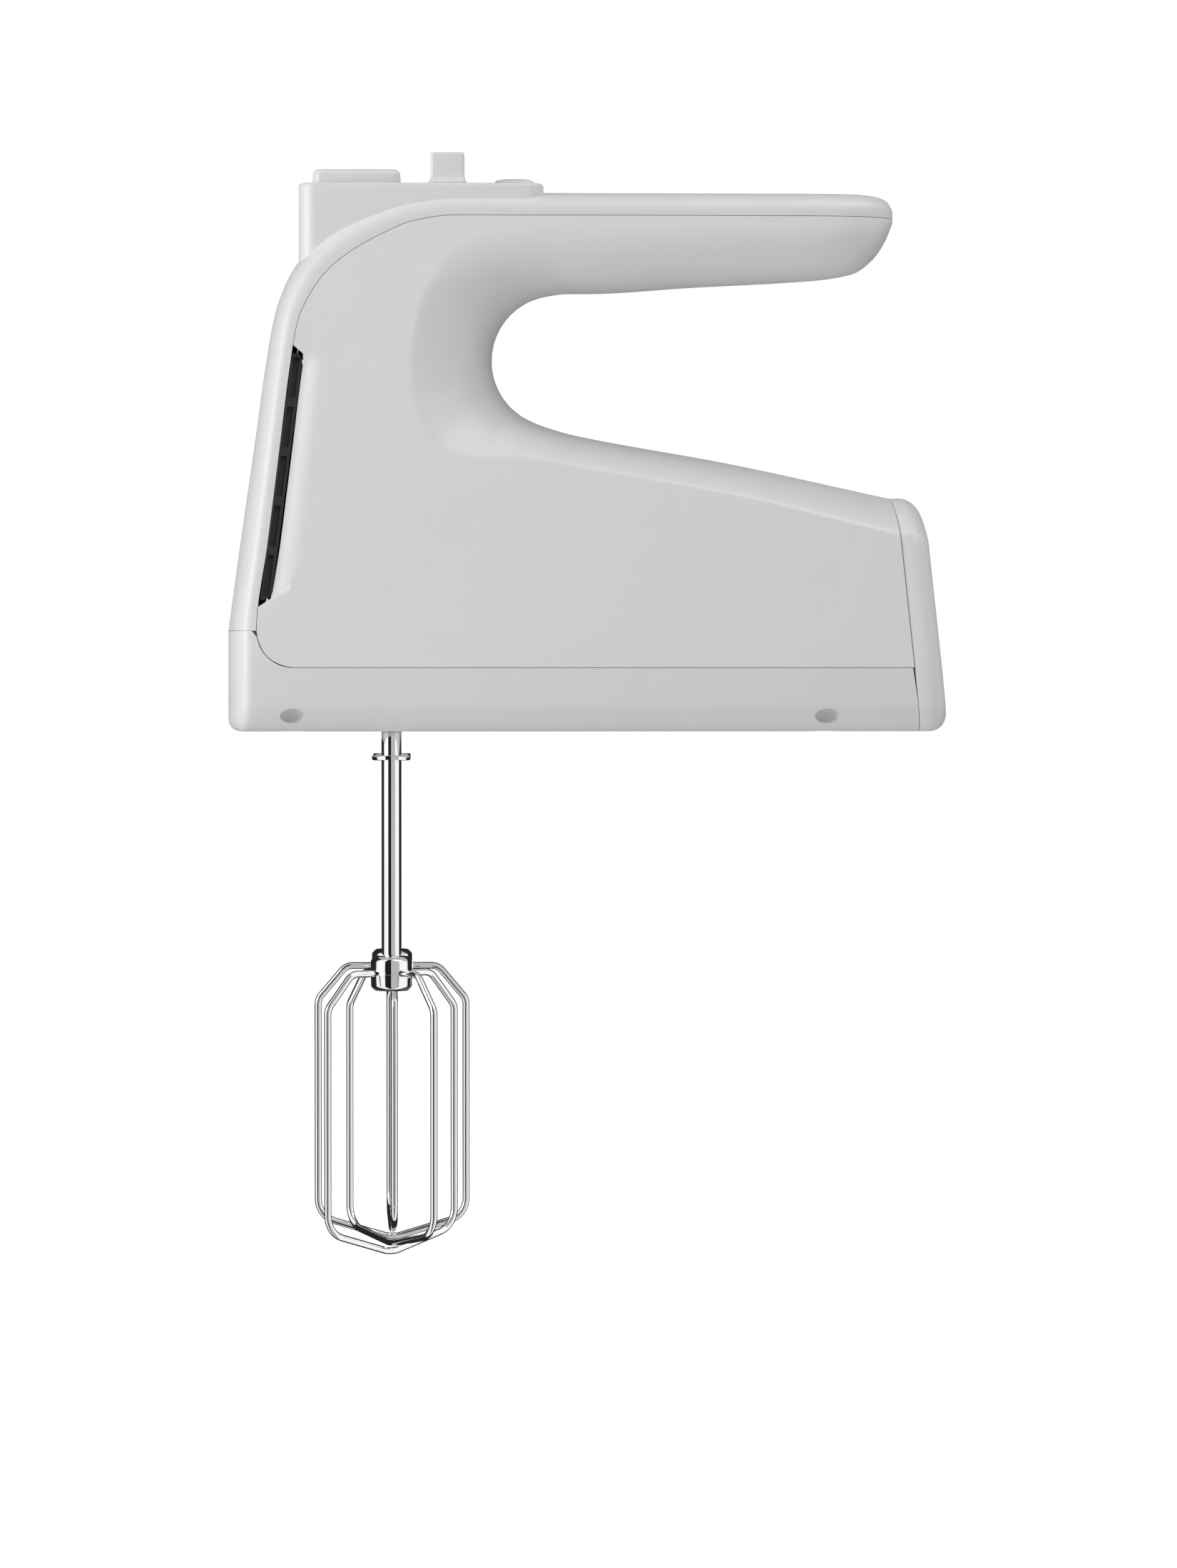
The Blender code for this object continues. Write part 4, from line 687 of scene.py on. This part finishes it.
# ---- Balloon whisks
# Bright-chromed steel: a ground shaft with a pressed-on stop collar, a turned hub, and two
# round wires bent to crossing cages. The second wire passes just inside the first.
chrome, chrome_shader, chrome_here = finish_for("bright_chrome")
haze = chrome_here.noise(400.0, 2.0)
feed(chrome_shader, Base_Color=(haze + 0.5).mix((0.86, 0.86, 0.87, 1), (0.9, 0.9, 0.905, 1)),
    Metallic=1.0, Roughness=0.045 + abs(haze) * 0.04, Normal=bumped(haze, 0.1, 0.00002))
SHAFT_R, COLLAR_R, HUB_R, WIRE_R, CAGE_R = 2.7, 5.35, 5.7, 1.0, 21.0
ARM_Z, ARM_R, SHOULDER_Z, FOOT_Z, TIP_Z = -67.0, 13.0, -76.5, -138.2, -144.0


def bent_wire(corners, bends, steps=12):
    """Straight runs between corners, each inner corner an arc of its bend radius tangent to
    both runs."""
    path = [corners[0]]
    for before, at, after, radius in zip(corners, corners[1:], corners[2:], bends):
        inward = (before - at) / np.linalg.norm(before - at)
        onward = (after - at) / np.linalg.norm(after - at)
        half = math.acos(float(np.clip(inward @ onward, -1, 1))) / 2
        reach = radius / math.tan(half)
        centre = at + (inward + onward) / np.linalg.norm(inward + onward) * radius / math.sin(half)
        first, last = at + inward * reach - centre, at + onward * reach - centre
        bend = math.pi - 2 * half
        a = np.linspace(0, bend, steps + 1)[:, None]
        path.extend(centre + (first * np.sin(bend - a) + last * np.sin(a)) / math.sin(bend))
    return np.array(path + [corners[-1]])


def round_wire(path, radius, side, sides=20):
    """A circle carried along a flat path; side is the unit vector across its plane."""
    along = np.gradient(path, axis=0)
    along /= np.linalg.norm(along, axis=1, keepdims=True)
    side = np.broadcast_to(side, along.shape)
    across = np.cross(along, side)
    turn = np.linspace(0, 2 * math.pi, sides, endpoint=False)[None, :, None]
    return path[:, None] + radius * (np.cos(turn) * across[:, None] + np.sin(turn) * side[:, None])


for side, name, first_turn in ((-1, "left", 33.9), (1, "right", 2.0)):
    middle = np.array([0.0, side * SPINDLE_Y, 0.0])
    body = name + "_whisk"
    shaft = [(0.9, -62.0), (SHAFT_R, -62.0), (SHAFT_R, -30.0), (SHAFT_R, 16.4), (2.5, 17.3), (1.9, 17.85), (1.0, 18.0)]
    skin(name + "_shaft", *lofted(lathe(shaft, middle)), chrome, body, name + "_whisk_shaft", slot="chrome")
    collar = [(3.0, -8.1), (4.9, -8.1), (5.25, -7.95), (COLLAR_R, -7.6), (COLLAR_R, -7.2), (5.25, -6.85),
        (4.9, -6.7), (3.0, -6.7)]
    skin(name + "_collar", *lofted(lathe(collar, middle), closed=True), chrome, body, name + "_whisk_collar",
        slot="chrome")
    hub = [(2.2, -71.9), (4.3, -71.9), (4.7, -71.75), (5.5, -70.95), (HUB_R, -70.5), (HUB_R, -67.4), (5.5, -67.2),
        (5.5, -66.8), (HUB_R, -66.6), (HUB_R, -63.7), (5.5, -63.25), (4.7, -62.45), (4.3, -62.3), (2.2, -62.3)]
    skin(name + "_hub", *lofted(lathe(hub, middle)), chrome, body, name + "_whisk_hub", slot="chrome")
    for loop, letter in enumerate("ab"):
        turn = math.radians(first_turn + 90 * loop)
        half = [(HUB_R + GAP, ARM_Z), (ARM_R, ARM_Z), (CAGE_R, SHOULDER_Z), (CAGE_R, FOOT_Z),
            (1.5, TIP_Z + loop * (2 * WIRE_R + GAP))]
        corners = [np.array(c) for c in half + [(-r, z) for r, z in reversed(half)]]
        flat = bent_wire(corners, [4.0, 4.0, 6.6, 5.0, 5.0, 6.6, 4.0, 4.0])
        out = np.array([math.cos(turn), math.sin(turn), 0.0])
        path = flat[:, :1] * out + flat[:, 1:] * np.array([0, 0, 1.0]) + middle
        wire = round_wire(path, WIRE_R, np.array([-math.sin(turn), math.cos(turn), 0.0]))
        skin(f"{name}_wire_{letter}", *lofted(wire), chrome, body, f"{name}_whisk_loop_{letter}", slot="chrome")

# ---- Controls
# Three white mouldings on the platform: the broad eject button, the speed slider with its
# upright finger tab, and the low oblong turbo button. Each stands in a close opening.


def button(name, centre, half, radius, low, top, round_r, dome, bore, body, node):
    """A button: straight sides, an edge of round_r, then a top that rises by dome as a
    parabola to the middle. Each ring is the outline drawn in."""
    a = np.linspace(0, math.pi / 2, 9)
    inset = np.concatenate([[0.8, 0.15, 0.0], round_r * (1 - np.cos(a))])
    z = np.concatenate([[low, low, low + 0.3], top - dome - round_r * (1 - np.sin(a))])
    t = np.linspace(0, 1, 9)[1:-1]
    inset = np.concatenate([inset, round_r + (min(half) - round_r - 0.1) * t])
    z = np.concatenate([z, top - dome * (1 - t) ** 2])
    rings = [pad_ring(centre, (half[0] - i, half[1] - i), radius - i, h, 48) for i, h in zip(inset, z)]
    pad = skin(name, *lofted(rings), abs_white, body, node)
    carve(pad, lofted(lathe([(bore, low - 1), (bore, low + 4.3)], (*centre, 0))))


button("eject_pad", (EJECT[0], 0), EJECT[1:], 2.6, 150.4, 156.4, 1.8, 0.25, 6.9, "eject_control", "eject_button")
button("turbo_pad", (TURBO_X[0], 0), TURBO_X[1:], 3.2, 147.9, 154.2, 1.5, 0.5, 3.9, "turbo_control", "turbo_button")
SLIDER_Y, FOOT_Z_LOW = -12.0, PLATFORM_TOP + 0.04
flare = 1 - np.sqrt(1 - np.linspace(1, 0, 9) ** 2)
section = [(2.4, 2.0, 0.4, 146.0), (2.4, 2.0, 0.4, FOOT_Z_LOW), (5.1, 4.8, 1.2, FOOT_Z_LOW),
    (5.3, 5.0, 1.3, FOOT_Z_LOW + 0.2)]
section += [(4.7 + 0.6 * f, 3.4 + 1.6 * f, 0.9 + 0.4 * f, FOOT_Z_LOW + 0.4 + 2.6 * t)
    for f, t in zip(flare, np.linspace(0, 1, 9))]
section += [(4.7, 3.4, 0.9, 159.6), (4.66, 3.36, 0.9, 160.0), (4.5, 3.2, 0.8, 160.32), (4.2, 2.9, 0.6, 160.48),
    (3.8, 2.5, 0.5, 160.5)]
rings = [pad_ring((SLIDER_X, SLIDER_Y), (hx, hy), r, z, 48) for hx, hy, r, z in section]
skin("slider_tab", *lofted(rings), abs_white, "slider_control", "speed_slider")

# ---- Case screws
# Zinc-plated pan-head screws deep in the tray's wells, with a cross recess.
plated, plated_shader, plated_here = finish_for("zinc_plate")
drift = plated_here.noise(900.0, 3.0)
feed(plated_shader, Base_Color=(drift + 0.5).mix((0.5, 0.5, 0.5, 1), (0.62, 0.62, 0.6, 1)), Metallic=1.0,
    Roughness=0.3 + drift * 0.15, Normal=bumped(drift, 0.3, 0.00003))


def screw_rings(x, y):
    """The head's face, edge and back, then the shank. The face bows by a parabola, with a
    cross sunk where one of |u|, |v| is under 0.45 and the other under 1.5."""
    turn = np.arange(96) / 96 * 2 * math.pi
    radius = np.concatenate([np.linspace(0.05, 2.5, 22), [2.75, 2.9, 2.9, 1.5, 1.5, 1.0]])[:, None]
    u, v = np.abs(radius * np.cos(turn)), np.abs(radius * np.sin(turn))
    cross = smooth((0.55 - np.minimum(u, v)) / 0.2) * smooth((1.6 - np.maximum(u, v)) / 0.3)
    face = 3.1 + 0.5 * (radius / 2.5) ** 2 + 1.1 * cross
    back = np.array([3.75, 4.2, 5.0, 5.0, 15.0, 15.6])[:, None] + 0 * turn
    height = np.concatenate([face[:22], back])
    return np.stack([x + radius * np.cos(turn), y + radius * np.sin(turn), height], axis=-1)


for x, y, place, name in SCREW_PLACES:
    skin(f"screw_{place}_{name}", *lofted(screw_rings(x, y)), plated, "housing", f"case_screw_{place}_{name}",
        slot="steel")

# ---- Cord gland
# A black rubber bush pressed into the right-hand panel near the heel, where the lead enters.
rubber, rubber_shader, rubber_here = finish_for("black_rubber")
bloom = rubber_here.noise(1500.0, 3.0)
feed(rubber_shader, Base_Color=(bloom + 0.5).mix((0.018, 0.018, 0.018, 1), (0.04, 0.04, 0.04, 1)),
    Roughness=0.62 + bloom * 0.2, Normal=bumped(bloom, 0.4, 0.00005))
gland_y = float(half_width(128.0, 34.0))
gland = [(3.6, -6.0), (5.0, -6.0), (5.0, 0.3), (5.0, 0.9), (4.85, 1.3), (4.5, 1.5), (4.1, 1.5), (3.75, 1.3), (3.6, 0.9)]
skin("lead_bush", *lofted(lathe(gland, (128.0, gland_y, 34.0), axis="Y"), closed=True), rubber, "housing",
    "cord_gland", slot="rubber")

# ---- Works inside the covers
# The drive as it is packed: each CAD piece keeps its shape and takes the finish of its own
# trade - rolled and turned steel, varnished laminations, enamelled wire, die-cast zinc,
# natural acetal, sintered bronze, pressed carbon, solder mask.
works = {
    # slot: two colours, metallic, roughness and its spread, noise scale per metre, bump in metres
    "grey_abs": ((0.028, 0.028, 0.027), (0.04, 0.04, 0.039), 0.0, 0.5, 0.1, 1800.0, 0.00004),
    "steel": ((0.48, 0.48, 0.49), (0.6, 0.6, 0.61), 1.0, 0.26, 0.2, 700.0, 0.00002),
    "lamination": ((0.16, 0.16, 0.17), (0.28, 0.28, 0.29), 0.9, 0.42, 0.2, 300.0, 0.00004),
    "copper": ((0.48, 0.17, 0.06), (0.68, 0.3, 0.12), 1.0, 0.28, 0.15, 500.0, 0.00003),
    "zinc": ((0.4, 0.41, 0.42), (0.52, 0.53, 0.54), 0.9, 0.46, 0.2, 1200.0, 0.00006),
    "acetal": ((0.72, 0.7, 0.62), (0.79, 0.77, 0.7), 0.0, 0.42, 0.1, 900.0, 0.00002),
    "bronze": ((0.38, 0.24, 0.1), (0.52, 0.36, 0.17), 1.0, 0.42, 0.25, 2500.0, 0.00005),
    "carbon": ((0.015, 0.015, 0.015), (0.045, 0.045, 0.045), 0.1, 0.55, 0.2, 1500.0, 0.00003),
    "board": ((0.02, 0.14, 0.05), (0.03, 0.2, 0.08), 0.0, 0.34, 0.1, 250.0, 0.00002),
}
# Ridges per metre and the axis they are stacked along, for sheets, windings and turning marks.
ridged = {"lamination": (1000.0, "X"), "copper": (900.0, "X"), "steel": (1600.0, "Z")}
finishes = {}
for slot, (dark, light, metal, rough, spread, scale, depth) in works.items():
    made, shader, here = finish_for("works_" + slot)
    cloud = here.noise(scale, 3.0)
    height = cloud
    if slot in ridged:
        pitch, axis = ridged[slot]
        along = Signal(made.node_tree, here.node("ShaderNodeSeparateXYZ", {}, {0: here}).socket.node.outputs[axis])
        height = along.maths("SINE", along * (pitch * 2 * math.pi)) * 0.6 + cloud * 0.4
    feed(shader, Base_Color=(cloud + 0.5).mix((*dark, 1), (*light, 1)), Metallic=metal,
        Roughness=rough + cloud * spread, Normal=bumped(height, 0.4, depth))
    finishes[slot] = made
for entry in frame["record"]["subparts"]:
    node = frame["nodes"][entry["node"]]
    made = finishes.get(entry["material_slot"])
    if made and not node.hide_render:
        node.data.materials.clear()
        node.data.materials.append(made)
